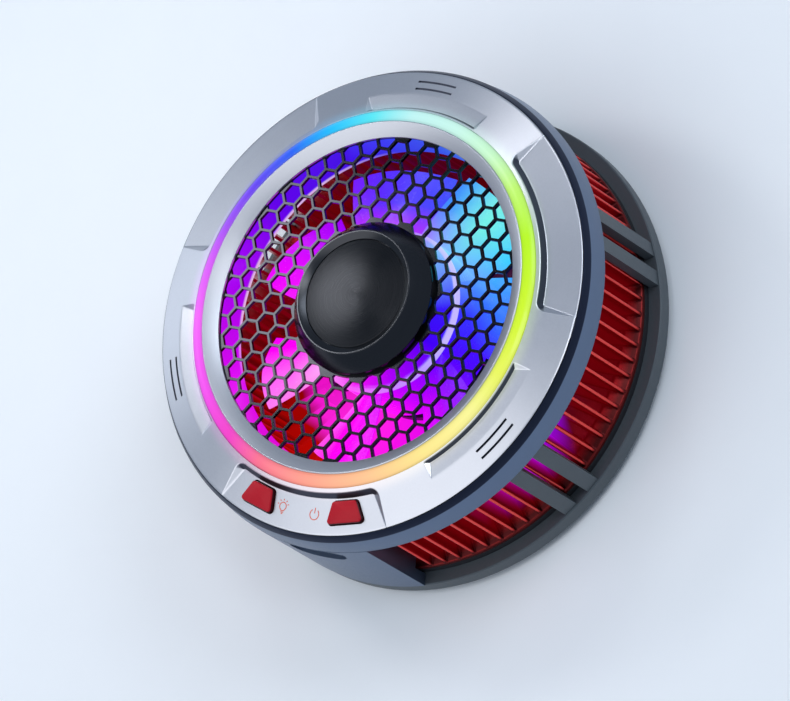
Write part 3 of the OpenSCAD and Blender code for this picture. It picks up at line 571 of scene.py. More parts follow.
# Turns of the painted highlight along the lower edge of the duct, with its strength.
DUCT_EDGE_HIGHLIGHT = [(215, 0.0), (190, 1.0), (135, 1.0), (105, 0.0)]
# Radii between which the blades pass from the inner to the outer painted glow colours
BLADE_CHANGE = (11.0, 17.0)
# Radii between which the painted highlight on the edge of the fan's hub sets in
HUB_EDGE = (11.2, 11.45)
# Middles of the two signs beside the keys
POWER_SPOT = (2.2, -30.6)
LAMP_SPOT = (-3.2, -30.4)


def greys(stops):
    """Ramp stops from plain strengths."""
    return [(spot, (value, value, value)) for spot, value in stops]


# Geometry node trees


def node_tree(name, inputs):
    """Empty geometry tree with named inputs of (name, socket type)."""
    tree = bpy.data.node_groups.new(name, "GeometryNodeTree")
    for label, kind in inputs:
        tree.interface.new_socket(label, in_out="INPUT", socket_type=kind)
    tree.interface.new_socket("Geometry", in_out="OUTPUT", socket_type="NodeSocketGeometry")
    return tree, tree.nodes.new("NodeGroupInput").outputs, tree.nodes.new("NodeGroupOutput")


def finish_tree(tree, result, geometry, material):
    """Ends a geometry tree in plain geometry with a material."""
    plain = add(tree, "GeometryNodeRealizeInstances", {0: geometry})
    painted = add(tree, "GeometryNodeSetMaterial", {"Geometry": plain.outputs[0], "Material": material})
    tree.links.new(painted.outputs[0], result.inputs[0])


def run_tree(name, tree, values, sharp=35):
    """Object made by a geometry tree with the values given by input name."""
    made = bpy.data.objects.new(name, bpy.data.meshes.new(name))
    bpy.context.scene.collection.objects.link(made)
    modifier = made.modifiers.new(name, "NODES")
    modifier.node_group = tree
    for item in tree.interface.items_tree:
        if item.in_out == "INPUT" and item.name in values:
            modifier[item.identifier] = values[item.name]
    return settle(made, sharp)


def radial_tree():
    """Copies of a piece around the axis, with an arc left free."""
    name = "Radial copies"
    if name in bpy.data.node_groups:
        return bpy.data.node_groups[name]
    tree, given, result = node_tree(name, [
        ("Piece", "NodeSocketObject"), ("Count", "NodeSocketInt"), ("First turn", "NodeSocketFloat"),
        ("Free middle", "NodeSocketFloat"), ("Free half", "NodeSocketFloat"),
        ("Material", "NodeSocketMaterial"),
    ])
    spots = add(tree, "GeometryNodePoints", {"Count": given["Count"]})
    number = add(tree, "GeometryNodeInputIndex").outputs[0]
    step = math_node(tree, "DIVIDE", 2 * math.pi, given["Count"])
    turn = math_node(tree, "MULTIPLY_ADD", number, step, given["First turn"])
    away = math_node(tree, "SUBTRACT", turn, given["Free middle"])
    wrapped = math_node(tree, "WRAP", away, math.pi, -math.pi)
    kept = math_node(tree, "GREATER_THAN", math_node(tree, "ABSOLUTE", wrapped), given["Free half"])
    spin = add(tree, "ShaderNodeCombineXYZ", {2: turn}).outputs[0]
    piece = add(tree, "GeometryNodeObjectInfo", {"Object": given["Piece"]}).outputs["Geometry"]
    copies = add(tree, "GeometryNodeInstanceOnPoints", {
        "Points": spots.outputs[0], "Selection": kept, "Instance": piece, "Rotation": spin,
    })
    finish_tree(tree, result, copies.outputs[0], given["Material"])
    return tree


def around(name, piece, count, first, material, free_middle=0.0, free_half=-1.0, sharp=35):
    """Copies of a piece around the axis as one object; the piece itself is removed."""
    made = run_tree(name, radial_tree(), {
        "Piece": piece, "Count": count, "First turn": math.radians(first), "Material": material,
        "Free middle": math.radians(free_middle), "Free half": math.radians(free_half),
    }, sharp)
    bpy.data.objects.remove(piece)
    return made


def cylinder(tree, sides, radius, depth):
    """Upright cylinder around the middle of a tree's space."""
    return add(tree, "GeometryNodeMeshCylinder", {"Vertices": sides, "Radius": radius, "Depth": depth})


def pierce(tree, body):
    """Exact cut of other pieces, linked later, from a body."""
    return add(tree, "GeometryNodeMeshBoolean", {0: body.outputs[0]}, operation="DIFFERENCE", solver="EXACT")


def honeycomb_tree():
    """Round plate with hexagonal cells between two radii, each with a bevelled mouth."""
    name = "Honeycomb plate"
    tree, given, result = node_tree(name, [
        ("Pitch", "NodeSocketFloat"), ("Wall", "NodeSocketFloat"), ("Bevel", "NodeSocketFloat"),
        ("Plate radius", "NodeSocketFloat"), ("Pin radius", "NodeSocketFloat"),
        ("Inner radius", "NodeSocketFloat"), ("Outer radius", "NodeSocketFloat"),
        ("Low", "NodeSocketFloat"), ("High", "NodeSocketFloat"),
        ("Rows", "NodeSocketInt"), ("Material", "NodeSocketMaterial"),
    ])
    thickness = math_node(tree, "SUBTRACT", given["High"], given["Low"])
    middle_z = math_node(tree, "MULTIPLY", math_node(tree, "ADD", given["High"], given["Low"]), 0.5)
    lift = add(tree, "ShaderNodeCombineXYZ", {2: middle_z}).outputs[0]

    # One cell: a hexagonal prism through the plate and a flare at its upper mouth
    clear = math_node(tree, "SUBTRACT", given["Pitch"], given["Wall"])
    cell_r = math_node(tree, "DIVIDE", clear, 2 * math.cos(math.pi / 6))
    tall = math_node(tree, "MULTIPLY", thickness, 3.0)
    shaft = cylinder(tree, 6, cell_r, tall)
    flare_r = math_node(tree, "MULTIPLY_ADD", given["Bevel"], 2.0, cell_r)
    flare_h = math_node(tree, "MULTIPLY", given["Bevel"], 2.0)
    flare = add(tree, "GeometryNodeMeshCone", {
        "Vertices": 6, "Radius Bottom": cell_r, "Radius Top": flare_r, "Depth": flare_h,
    })
    flare_z = math_node(tree, "SUBTRACT", math_node(tree, "MULTIPLY", thickness, 0.5), given["Bevel"])
    flare_up = add(tree, "ShaderNodeCombineXYZ", {2: flare_z}).outputs[0]
    raised = add(tree, "GeometryNodeTransform", {"Geometry": flare.outputs[0], "Translation": flare_up})
    cell = add(tree, "GeometryNodeMeshBoolean", operation="UNION", solver="EXACT")
    tree.links.new(shaft.outputs[0], cell.inputs[1])
    tree.links.new(raised.outputs[0], cell.inputs[1])

    # Two square grids, one shifted, put a cell on each point of the honeycomb
    step = math_node(tree, "MULTIPLY", given["Pitch"], math.cos(math.pi / 6))
    gaps = math_node(tree, "SUBTRACT", given["Rows"], 1.0)
    span_x = math_node(tree, "MULTIPLY", gaps, math_node(tree, "MULTIPLY", step, 2.0))
    span_y = math_node(tree, "MULTIPLY", gaps, given["Pitch"])
    grid = add(tree, "GeometryNodeMeshGrid", {
        "Size X": span_x, "Size Y": span_y, "Vertices X": given["Rows"], "Vertices Y": given["Rows"],
    })
    half_pitch = math_node(tree, "MULTIPLY", given["Pitch"], 0.5)
    shift = add(tree, "ShaderNodeCombineXYZ", {0: step, 1: half_pitch}).outputs[0]
    shifted = add(tree, "GeometryNodeTransform", {"Geometry": grid.outputs[0], "Translation": shift})
    spots = add(tree, "GeometryNodeJoinGeometry")
    tree.links.new(grid.outputs[0], spots.inputs[0])
    tree.links.new(shifted.outputs[0], spots.inputs[0])
    position = add(tree, "GeometryNodeInputPosition").outputs[0]
    far = add(tree, "ShaderNodeVectorMath", {0: position}, operation="LENGTH").outputs["Value"]
    quarter = math_node(tree, "MULTIPLY", given["Pitch"], 0.25)
    outside = math_node(tree, "GREATER_THAN", far, math_node(tree, "ADD", given["Outer radius"], quarter))
    inside = math_node(tree, "LESS_THAN", far, math_node(tree, "SUBTRACT", given["Inner radius"], quarter))
    unwanted = math_node(tree, "MAXIMUM", outside, inside)
    kept = add(tree, "GeometryNodeDeleteGeometry", {"Geometry": spots.outputs[0], "Selection": unwanted})
    spread = {"Points": kept.outputs[0], "Instance": cell.outputs[0]}
    cells = add(tree, "GeometryNodeInstanceOnPoints", spread)
    solid_cells = add(tree, "GeometryNodeRealizeInstances", {0: cells.outputs[0]})

    # The cells end at the rim and at the cap
    rim = cylinder(tree, 144, given["Outer radius"], tall)
    core = cylinder(tree, 96, given["Inner radius"], 1.0)
    trimmed = add(tree, "GeometryNodeMeshBoolean", operation="INTERSECT", solver="EXACT")
    tree.links.new(solid_cells.outputs[0], trimmed.inputs[1])
    tree.links.new(rim.outputs[0], trimmed.inputs[1])
    open_cells = pierce(tree, trimmed)
    tree.links.new(core.outputs[0], open_cells.inputs[1])

    plate = cylinder(tree, 144, given["Plate radius"], thickness)
    pin = cylinder(tree, 48, given["Pin radius"], tall)
    pierced = pierce(tree, plate)
    tree.links.new(open_cells.outputs[0], pierced.inputs[1])
    tree.links.new(pin.outputs[0], pierced.inputs[1])
    seated = add(tree, "GeometryNodeTransform", {"Geometry": pierced.outputs[0], "Translation": lift})
    finish_tree(tree, result, seated.outputs[0], given["Material"])
    return tree


# Face


def soft_min(a, b, size):
    """Smaller of two heights, rounded where they meet."""
    share = max(0.0, min(1.0, 0.5 + 0.5 * (b - a) / size))
    return b + (a - b) * share - size * share * (1 - share)


def soft_max(a, b, size):
    """Larger of two heights, rounded where they meet."""
    return -soft_min(-a, -b, size)


def turn_from(turn, middle):
    """Angle between two directions, in degrees and without sign."""
    return abs((turn - middle + 180) % 360 - 180)


def cone_height(r):
    """Height of the plain face at a radius."""
    return FACE_TOP - (FACE_TOP - FACE_RIM) * (r - FACE_IN) / (RIM_R - FACE_IN)


def panel_height(r):
    """Height of the floor of a sunk panel at a radius."""
    return FACE_RIM - 0.04 + math.tan(PANEL_LEAN) * (RIM_R - r)


def recess_height(r):
    """Height of the floor of an arc recess at a radius."""
    deep = cone_height(RECESS_FOOT) - RECESS_DEPTH
    rise = (cone_height(RECESS_END) - deep) / (RECESS_END - RECESS_FOOT)
    return deep + rise * (r - RECESS_FOOT)


def sunk_height(r, away, half, edge_r, foot_r, floor_at, deep_round, corner):
    """Height of a sunk field: a floor, an inner wall and two leaning ends, with round corners."""
    edge = cone_height(edge_r)
    wall = edge - (edge - floor_at(foot_r)) * (r - edge_r) / (foot_r - edge_r)
    end_slope = 1 / math.tan(END_LEAN)
    past_end = r * math.sin(math.radians(half - away))
    sides = soft_max(wall, cone_height(r) - past_end * end_slope, CORNER_ROUND)
    across = corner - (r - edge_r)
    along = corner - past_end
    if across > 0 and along > 0:
        wall_slope = (cone_height(foot_r) - floor_at(foot_r)) / (foot_r - edge_r)
        share = math.atan2(along, across) / (math.pi / 2)
        slope = wall_slope + (end_slope - wall_slope) * share
        sides = max(sides, cone_height(r) - slope * (corner - math.hypot(across, along)))
    return soft_max(floor_at(r), sides, deep_round)


def face_height(r, turn, deep_round, edge_round):
    """Height of the face with its panels and recesses."""
    height = cone_height(r)
    fields = (
        (PANEL_TURNS, PANEL_HALF, PANEL_IN, PANEL_FOOT, panel_height, deep_round, PANEL_CORNER),
        (RECESS_TURNS, RECESS_HALF, RECESS_IN, RECESS_FOOT, recess_height, 0.6 * deep_round, RECESS_CORNER),
    )
    for middles, half, edge_r, foot_r, floor_at, foot_round, corner in fields:
        for middle in middles:
            away = turn_from(turn, middle)
            if away < 40:
                sunk = sunk_height(r, away, half, edge_r, foot_r, floor_at, foot_round, corner)
                height = soft_min(height, sunk, edge_round)
    return height


def face_turns():
    """Angles around the face, close together at the ends of its panels and recesses."""
    fields = ((PANEL_TURNS, PANEL_HALF), (RECESS_TURNS, RECESS_HALF))
    ends = [middle + side * half for middles, half in fields for middle in middles for side in (-1, 1)]
    turns = []
    turn = 0.0
    while turn < 359.97:
        turns.append(turn)
        near = min(turn_from(turn, end) for end in ends)
        turn += 0.06 if near < 0.4 else 0.12 if near < 2.8 else 0.75
    return turns


def button_outline(grow, steps=6):
    """Rounded trapezoid of a button in its own plan, narrow end towards the axis."""
    tilt = math.atan((BUTTON_OUT - BUTTON_IN) / 2 / BUTTON_LENGTH)
    x = BUTTON_LENGTH / 2 - BUTTON_ROUND
    y_in = BUTTON_IN / 2 - BUTTON_ROUND * (1 / math.cos(tilt) - math.tan(tilt))
    y_out = BUTTON_OUT / 2 - BUTTON_ROUND * (1 / math.cos(tilt) + math.tan(tilt))
    lean = math.degrees(tilt)
    corners = [
        (x, -y_out, -90 - lean, 0), (x, y_out, 0, 90 + lean),
        (-x, y_in, 90 + lean, 180), (-x, -y_in, 180, 270 - lean),
    ]
    size = BUTTON_ROUND + grow
    loop = []
    for cx, cy, start, end in corners:
        for k in range(steps + 1):
            a = math.radians(start + (end - start) * k / steps)
            loop.append((cx + size * math.cos(a), cy + size * math.sin(a)))
    return loop


def button_loop(side, grow, height):
    """Outline of a button at a height above its leaning panel."""
    a = math.radians(PORT_TURN + side * BUTTON_TURN)
    loop = []
    for x, y in button_outline(grow):
        r = BUTTON_R + x * math.cos(PANEL_LEAN) + height * math.sin(PANEL_LEAN)
        z = panel_height(BUTTON_R) - x * math.sin(PANEL_LEAN) + height * math.cos(PANEL_LEAN)
        loop.append((r * math.cos(a) - y * math.sin(a), r * math.sin(a) + y * math.cos(a), z))
    return loop


class CoolerFace(bpy.types.Operator):
    """Builds the satin face with its panels, recesses, dashes and button openings"""

    bl_idname = "cooler.face"
    bl_label = "Face"

    def execute(self, context):
        deep = sizes().panel_depth_round / MM
        edge = sizes().panel_edge_round / MM
        spans = [(FACE_IN + 0.08, 29.4, 36), (29.4, 30.4, 10), (30.4, FACE_R - 0.08, 16)]
        radii = [a + (b - a) * k / n for a, b, n in spans for k in range(n)] + [FACE_R - 0.08]

        def loop_at(turn):
            heights = [(r, face_height(r, turn, deep, edge)) for r in radii]
            inner = (FACE_IN, heights[0][1] - 0.08)
            outer = (FACE_R, heights[-1][1] - 0.06)
            under = (FACE_IN, FACE_UNDER + math.tan(PANEL_LEAN) * (WALL_IN - FACE_IN))
            return [inner, *heights, outer, (FACE_R, FACE_UNDER), (WALL_IN, FACE_UNDER), under]

        face = turned("face_satin", face_turns(), loop_at, sharp=40)
        cutters = []
        for side in (-1, 1):
            cutters.append(loft("opening", [button_loop(side, BUTTON_GAP, height) for height in (-3.0, 3.0)]))
        for middle in RECESS_TURNS:
            for r in (DASH_R - DASH_GAP / 2, DASH_R + DASH_GAP / 2):
                cutters.append(dash_cutter(middle, r))
        carve(face, joined("face_cuts", cutters), sharp=40)
        # The steep mark says where the silver gets its painted shade.
        mark_steep(face, 0.64, 0.77)
        place(face, "housing", "face_ring", silver_finish())
        return {"FINISHED"}


def mark_steep(piece, wall, slope):
    """Stores how steep each face is: 1 where its normal rises by up to wall, 0 from slope on."""
    steep = piece.data.attributes.new("steep", "FLOAT", "FACE")
    for face, mark in zip(piece.data.polygons, steep.data):
        mark.value = max(0.0, min(1.0, (slope - face.normal.z) / (slope - wall)))


def dash_cutter(middle, r):
    """Thin block, bent around the axis, that engraves one dash."""
    steps = 12
    turns = [math.radians(middle - DASH_HALF + 2 * DASH_HALF * k / steps) for k in range(steps + 1)]
    outline = [(r + DASH_WIDTH / 2, a) for a in turns] + [(r - DASH_WIDTH / 2, a) for a in reversed(turns)]
    loops = []
    for height in (cone_height(r) - DASH_DEPTH, cone_height(r) + 1):
        loops.append([(out * math.cos(a), out * math.sin(a), height) for out, a in outline])
    return loft("dash", loops)


def silver_finish():
    """Satin silver with a fine blasted grain, with painted shade on the steep walls of the sunk fields and in
    the dashes.
    """
    made = Finish("Satin silver", metallic=0.9, scale=3200.0, contrast=0.08)
    tree = made.tree
    where = made.where()
    fall = (FACE_TOP - FACE_RIM) / (RIM_R - FACE_IN)
    cone = math_node(tree, "MULTIPLY_ADD", where["Radius"], -fall, FACE_TOP + fall * FACE_IN)
    depth = math_node(tree, "SUBTRACT", cone, where["Height"])
    sunk = remap(tree, depth, 0.03, 0.12)
    angle = math_node(tree, "MULTIPLY_ADD", where["Turn"], 6 * math.pi, -3.5 * math.pi)
    in_panel = math_node(tree, "GREATER_THAN", math_node(tree, "COSINE", angle), 0.0)
    within = math_node(tree, "LESS_THAN", where["Radius"], PANEL_IN + 3.0)
    steep = add(tree, "ShaderNodeAttribute", attribute_name="steep").outputs["Fac"]
    near = math_node(tree, "MULTIPLY", steep, within)
    past = math_node(tree, "GREATER_THAN", where["Radius"], RECESS_END + 0.3)
    dash = math_node(tree, "MULTIPLY", past, math_node(tree, "SUBTRACT", 1.0, in_panel))
    # Painted shade: the steep walls of the sunk fields and the dash grooves are mixed towards the chamfer
    # colour.
    dark = math_node(tree, "MAXIMUM", near, dash)
    wall = math_node(tree, "MULTIPLY", math_node(tree, "MULTIPLY", sunk, dark), 0.93)
    shade = blend(tree, "MIX", wall, (*colours().silver, 1.0), (*colours().chamfer, 1.0))
    made.paint(shade).rough(0.26, 0.38).relief(0.006, 0.25)
    return spill(made, where, math_node(tree, "SUBTRACT", 1.0, wall)).material


def spill(made, where, share=1.0):
    """Coloured light that the ring throws on a share of the surface beside it."""
    hues = ramp(made.tree, where["Turn"], wheel(LIGHT_WHEEL))
    off = math_node(made.tree, "ABSOLUTE", math_node(made.tree, "SUBTRACT", where["Radius"], LIGHT_R - 0.85))
    near = remap(made.tree, off, 0.8, 3.6, 1.0, 0.0, interpolation_type="SMOOTHERSTEP")
    faded = math_node(made.tree, "MULTIPLY", math_node(made.tree, "POWER", near, 2.0), share)
    return made.glow(blend(made.tree, "MULTIPLY", 1.0, hues, faded), 0.16)


# Shell


class CoolerShell(bpy.types.Operator):
    """Builds the side band with its dark chamfer and finishes the port block"""

    bl_idname = "cooler.shell"
    bl_label = "Shell"

    def execute(self, context):
        floor_top = SHELL_LOW + 0.7
        loop = rounded([
            (RIM_R, FACE_RIM, 0.06), (SHOULDER_R, CHAMFER_LOW, 0.18), (BODY_R, SHELL_LOW, 0.12),
            (GRILLE_R + 0.05, SHELL_LOW, 0), (GRILLE_R + 0.05, floor_top, 0), (WALL_IN, floor_top, 0),
            (WALL_IN, FACE_UNDER, 0), (RIM_R, FACE_UNDER, 0),
        ])
        shell = revolve("shell_band", loop, 256)
        finish = band_finish()
        place(shell, "housing", "upper_shell", finish)
        dress("port_block", finish)
        dress("usb_c_socket", steel_finish())
        return {"FINISHED"}


def band_finish():
    """Blue-grey lacquer on the band and dark slate on the chamfer."""
    made = Finish("Slate band", metallic=0.9, scale=2600.0, contrast=0.07)
    height = made.where()["Height"]
    high = remap(made.tree, height, CHAMFER_LOW - 0.06, CHAMFER_LOW + 0.02)
    shade = blend(made.tree, "MIX", high, (*colours().band, 1.0), (*colours().chamfer, 1.0))
    return made.paint(shade).rough(0.3, 0.42).relief(0.006, 0.25).material


def steel_finish():
    """Drawn steel of the socket and small fasteners."""
    made = Finish("Drawn steel", metallic=1.0, scale=4000.0, contrast=0.12)
    return made.paint((0.55, 0.56, 0.58)).rough(0.22, 0.4).relief(0.004).material


# Light ring and funnel


class CoolerLight(bpy.types.Operator):
    """Builds the coloured light ring and the silver funnel inside it"""

    bl_idname = "cooler.light"
    bl_label = "Light ring"

    def execute(self, context):
        rise = LIGHT_TOP - FACE_TOP
        inner = BEZEL_R + 0.05
        width = LIGHT_R - inner
        arch = []
        for k in range(13):
            share = k / 12
            crown = 0.16 * math.sin(math.pi * share)
            arch.append((inner + width * share, LIGHT_TOP - rise * share + crown - 0.02 - 0.1 * (1 - share)))
        loop = [*arch, (LIGHT_R, LIGHT_LOW), (inner, LIGHT_LOW)]
        light = revolve("light_glow", loop, 256, sharp=50)
        place(light, "housing", "light_ring", light_finish())

        lip = GRILLE_TOP + 0.35
        loop = rounded([
            (OPEN_R, lip, 0.12), (BEZEL_R - 0.15, LIGHT_TOP, 0.08), (BEZEL_R, LIGHT_TOP - 0.1, 0.05),
            (BEZEL_R, BEZEL_LOW, 0), (GRILLE_R + 0.05, BEZEL_LOW, 0), (GRILLE_R + 0.05, GRILLE_TOP, 0),
            (OPEN_R, GRILLE_TOP, 0.05),
        ])
        bezel = revolve("funnel", loop, 256)
        made = Finish("Funnel silver", metallic=0.9, group=turned_group, fineness=9.0, contrast=0.1)
        made.paint([0.9 * c for c in colours().silver]).rough(0.34, 0.46).relief(0.004, 0.2)
        place(bezel, "housing", "inner_bezel", made.material)
        return {"FINISHED"}


def light_finish():
    """Milky plastic lit from below in a wheel of colours."""
    made = Finish("Light diffuser", coat=0.15, scale=1800.0, contrast=0.05)
    where = made.where()
    hues = ramp(made.tree, where["Turn"], wheel(LIGHT_WHEEL))
    inner = BEZEL_R + 0.05
    share = remap(made.tree, where["Radius"], inner, LIGHT_R)
    profile = [(0.0, 0.72), (0.2, 0.95), (0.55, 1.0), (0.85, 0.95), (1.0, 0.75)]
    across = ramp(made.tree, share, greys(profile))
    lit = blend(made.tree, "MULTIPLY", 1.0, hues, across)
    made.paint(blend(made.tree, "MULTIPLY", 1.0, hues, (0.1, 0.1, 0.1, 1.0)))
    return made.rough(0.25, 0.35).glow(lit, 0.95).material


# Grille


class CoolerGrille(bpy.types.Operator):
    """Builds the honeycomb plate"""

    bl_idname = "cooler.grille"
    bl_label = "Grille"

    def execute(self, context):
        made = Finish("Grille lacquer", metallic=1.0, scale=3000.0, contrast=0.1)
        finish = made.paint(colours().grille).rough(0.12, 0.18).relief(0.003, 0.1).material
        grille = run_tree("honeycomb", honeycomb_tree(), {
            "Pitch": sizes().cell_pitch, "Wall": sizes().cell_wall, "Bevel": sizes().cell_bevel,
            "Plate radius": GRILLE_R * MM, "Pin radius": 2.65 * MM, "Inner radius": (HUB_R + 0.25) * MM,
            "Outer radius": (OPEN_R + 0.1) * MM, "Low": GRILLE_LOW * MM, "High": GRILLE_TOP * MM, "Rows": 19,
            "Material": finish,
        }, sharp=20)
        if len(grille.data.polygons) < 1000:
            raise RuntimeError("The honeycomb plate has no cells")
        place(grille, "housing", "grille", finish)
        return {"FINISHED"}


# Hub cap


class CoolerHub(bpy.types.Operator):
    """Builds the turned black cap and its spun inlay"""

    bl_idname = "cooler.hub"
    bl_label = "Hub cap"

    def execute(self, context):
        rim_r = HUB_R - 2.0
        seat = DISC_TOP - 0.5
        pin_r = 2.6
        pin_low = GRILLE_LOW - 0.4
        loop = rounded([
            (0.0, seat, 0), (DISC_R + 0.05, seat, 0), (DISC_R + 0.05, DISC_TOP + 0.03, 0.03),
            (rim_r - 0.2, HUB_TOP, 0.06), (rim_r, HUB_TOP, 0.08),
            (HUB_R, GRILLE_TOP + 0.8, 0.25), (HUB_R, GRILLE_TOP, 0),
            (pin_r, GRILLE_TOP, 0), (pin_r, pin_low, 0), (0.0, pin_low, 0),
        ])
        cap = revolve("cap_turned", loop, 192, closed=False)
        made = Finish("Turned black", metallic=1.0, group=turned_group, fineness=16.0, contrast=0.35)
        made.paint(colours().hub)
        finish = made.rough(0.16, 0.28).relief(0.004, 0.2).set(Anisotropic=0.7).material
        place(cap, "housing", "hub_cap", finish)

        loop = rounded([(0.0, DISC_TOP, 0), (DISC_R, DISC_TOP, 0.1), (DISC_R, seat, 0), (0.0, seat, 0)])
        disc = revolve("disc_spun", loop, 192, closed=False)
        made = Finish("Spun black", metallic=1.0, group=turned_group, fineness=22.0, contrast=0.8)
        made.paint([0.6 * c for c in colours().hub])
        finish = made.rough(0.2, 0.38).relief(0.005, 0.3).set(Anisotropic=0.9).material
        place(disc, "housing", "hub_disc", finish)
        return {"FINISHED"}


# Buttons


class CoolerButtons(bpy.types.Operator):
    """Builds the two red keys and the printed signs beside them"""

    bl_idname = "cooler.buttons"
    bl_label = "Buttons"

    def execute(self, context):
        edge = sizes().button_edge / MM
        made = Finish("Key red", coat=0.04, scale=2400.0, contrast=0.12)
        # Painted shade: the steep sides of the keys are mixed towards near black.
        steep = add(made.tree, "ShaderNodeAttribute", attribute_name="steep").outputs["Fac"]
        shade = blend(made.tree, "MIX", steep, (*colours().button, 1.0), (0.04, 0.001, 0.003, 1.0))
        finish = made.paint(shade).rough(0.3, 0.44).relief(0.004, 0.15).set(Specular_IOR_Level=0.16).material
        for node, side in (("light_button", -1), ("power_button", 1)):
            steps = [
                (FLANGE_GROW, FLANGE_LOW), (FLANGE_GROW, FLANGE_TOP), (0.0, FLANGE_TOP),
                (0.0, BUTTON_RISE - edge - 0.04), (-0.03, BUTTON_RISE - edge + 0.03),
                (0.04 - edge, BUTTON_RISE - 0.03), (-0.02 - edge, BUTTON_RISE),
            ]
            key = loft(node + "_key", [button_loop(side, grow, height) for grow, height in steps], sharp=30)
            # The steep mark says where the keys get their painted shade.
            mark_steep(key, 0.2, 0.5)
            place(key, node, node, finish)
        ink = Finish("Sign ink", scale=2200.0, contrast=0.08)
        ink_finish = ink.paint(colours().icon).rough(0.5, 0.62).material
        signs = (("sign_power", power_sign(), POWER_SPOT), ("sign_lamp", lamp_sign(), LAMP_SPOT))
        for name, strokes, middle in signs:
            sign = printed(name, strokes, middle)
            sign.data.materials.append(ink_finish)
            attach(sign, "housing")
        return {"FINISHED"}


def arc(radius, start, end, middle=(0.0, 0.0), steps=28):
    """Points along an arc, with angles in degrees."""
    spots = [math.radians(start + (end - start) * k / steps) for k in range(steps + 1)]
    return [(middle[0] + radius * math.cos(a), middle[1] + radius * math.sin(a)) for a in spots]


def power_sign():
    """Open circle with a bar, in millimetres around its middle."""
    return [arc(0.72, 125, 415), [(0.0, 0.15), (0.0, 0.92)]]


def lamp_sign():
    """Bulb with a socket and rays, in millimetres around its middle."""
    strokes = [[(-0.24, -0.52), *arc(0.55, 232, -52, (0.0, 0.08)), (0.24, -0.52)]]
    for half, y in ((0.24, -0.52), (0.24, -0.72), (0.13, -0.92)):
        strokes.append([(-half, y), (half, y)])
    for turn in (20, 55, 90, 125, 160):
        a = math.radians(turn)
        strokes.append([(r * math.cos(a), 0.08 + r * math.sin(a)) for r in (0.78, 1.02)])
    return strokes


def printed(name, strokes, middle, width=0.13, thick=0.02):
    """Thin strips of ink that lie on the panel floor."""
    strips = []
    for stroke in strokes:
        spots = [Vector(p) for p in stroke]
        left, right = [], []
        for k, spot in enumerate(spots):
            way = spots[min(k + 1, len(spots) - 1)] - spots[max(k - 1, 0)]
            side = Vector((-way.y, way.x)).normalized() * width / 2
            left.append(spot + side)
            right.append(spot - side)
        outline = [*right, *reversed(left)]
        points = []
        for lift in (-0.005, thick):
            for p in outline:
                x, y = middle[0] + p.x, middle[1] + p.y
                points.append((x, y, panel_height(math.hypot(x, y)) + lift))
        count = len(outline)
        half = len(spots)
        faces = [(j, (j + 1) % count, count + (j + 1) % count, count + j) for j in range(count)]
        for j in range(half - 1):
            upper = (count + j, count + j + 1, 2 * count - 2 - j, 2 * count - 1 - j)
            faces.append(upper)
            faces.append(tuple(v - count for v in reversed(upper)))
        strips.append(mesh_object(name, points, faces))
    return joined(name, strips)


# Fan


def blade_point(share, chord, lift, count):
    """Point of a blade at a share of its radius and of its chord, above or below its middle surface."""
    root = reach("rotor_yoke") + 0.05 + 0.9 - 0.4
    height = 6.6
    r = root + (TIP_R - root) * share
    span = 360 / count * 0.76 * (1 - 0.1 * share)
    turn = math.radians(span * (chord - 0.5) - 6 * share)
    bulge = math.sin(math.pi * chord)
    low = FAN_TOP - 1.1 - height
    thick = lift * 0.8 * (0.35 + 0.65 * bulge)
    z = low + height * (1 - 0.12 * share) * chord + 0.9 * bulge + thick
    return (r * math.cos(turn), r * math.sin(turn), z)


class CoolerFan(bpy.types.Operator):
    """Builds the fan wheel and finishes the duct around it"""

    bl_idname = "cooler.fan"
    bl_label = "Fan"

    def execute(self, context):
        count = sizes().blade_count
        finish = blade_finish()
        along, across = 12, 18
        loops = []
        for i in range(along + 1):
            upper = [blade_point(i / along, j / across, 0.5, count) for j in range(across + 1)]
            lower = [blade_point(i / along, j / across, -0.5, count) for j in range(across + 1)]
            loops.append([*upper, *reversed(lower)])
        blade = loft("blade", loops, sharp=60)
        blades = around("blades", blade, count, 62.3, finish, sharp=60)
        hub_r = reach("rotor_yoke") + 0.95
        ceiling = FAN_TOP - 1.2
        boss_r = 2.6
        boss_low = ceiling - 1.4
        shaft_r = reach("fan_shaft")
        shaft_top = FAN_TOP - 0.5
        loop = rounded([
            (0.0, FAN_TOP, 0), (hub_r, FAN_TOP, 1.0), (hub_r, FAN_LOW, 0.1), (hub_r - 0.9, FAN_LOW, 0.1),
            (hub_r - 0.9, ceiling, 0), (boss_r, ceiling, 0), (boss_r, boss_low, 0), (shaft_r, boss_low, 0),
            (shaft_r, shaft_top, 0), (0.0, shaft_top, 0),
        ], 8)
        hub = revolve("fan_hub", loop, 128, closed=False)
        wheel_piece = joined("fan_wheel", [blades, hub], sharp=50)
        place(wheel_piece, "rotor", "impeller", finish)
        dress("fan_duct", duct_finish())
        return {"FINISHED"}


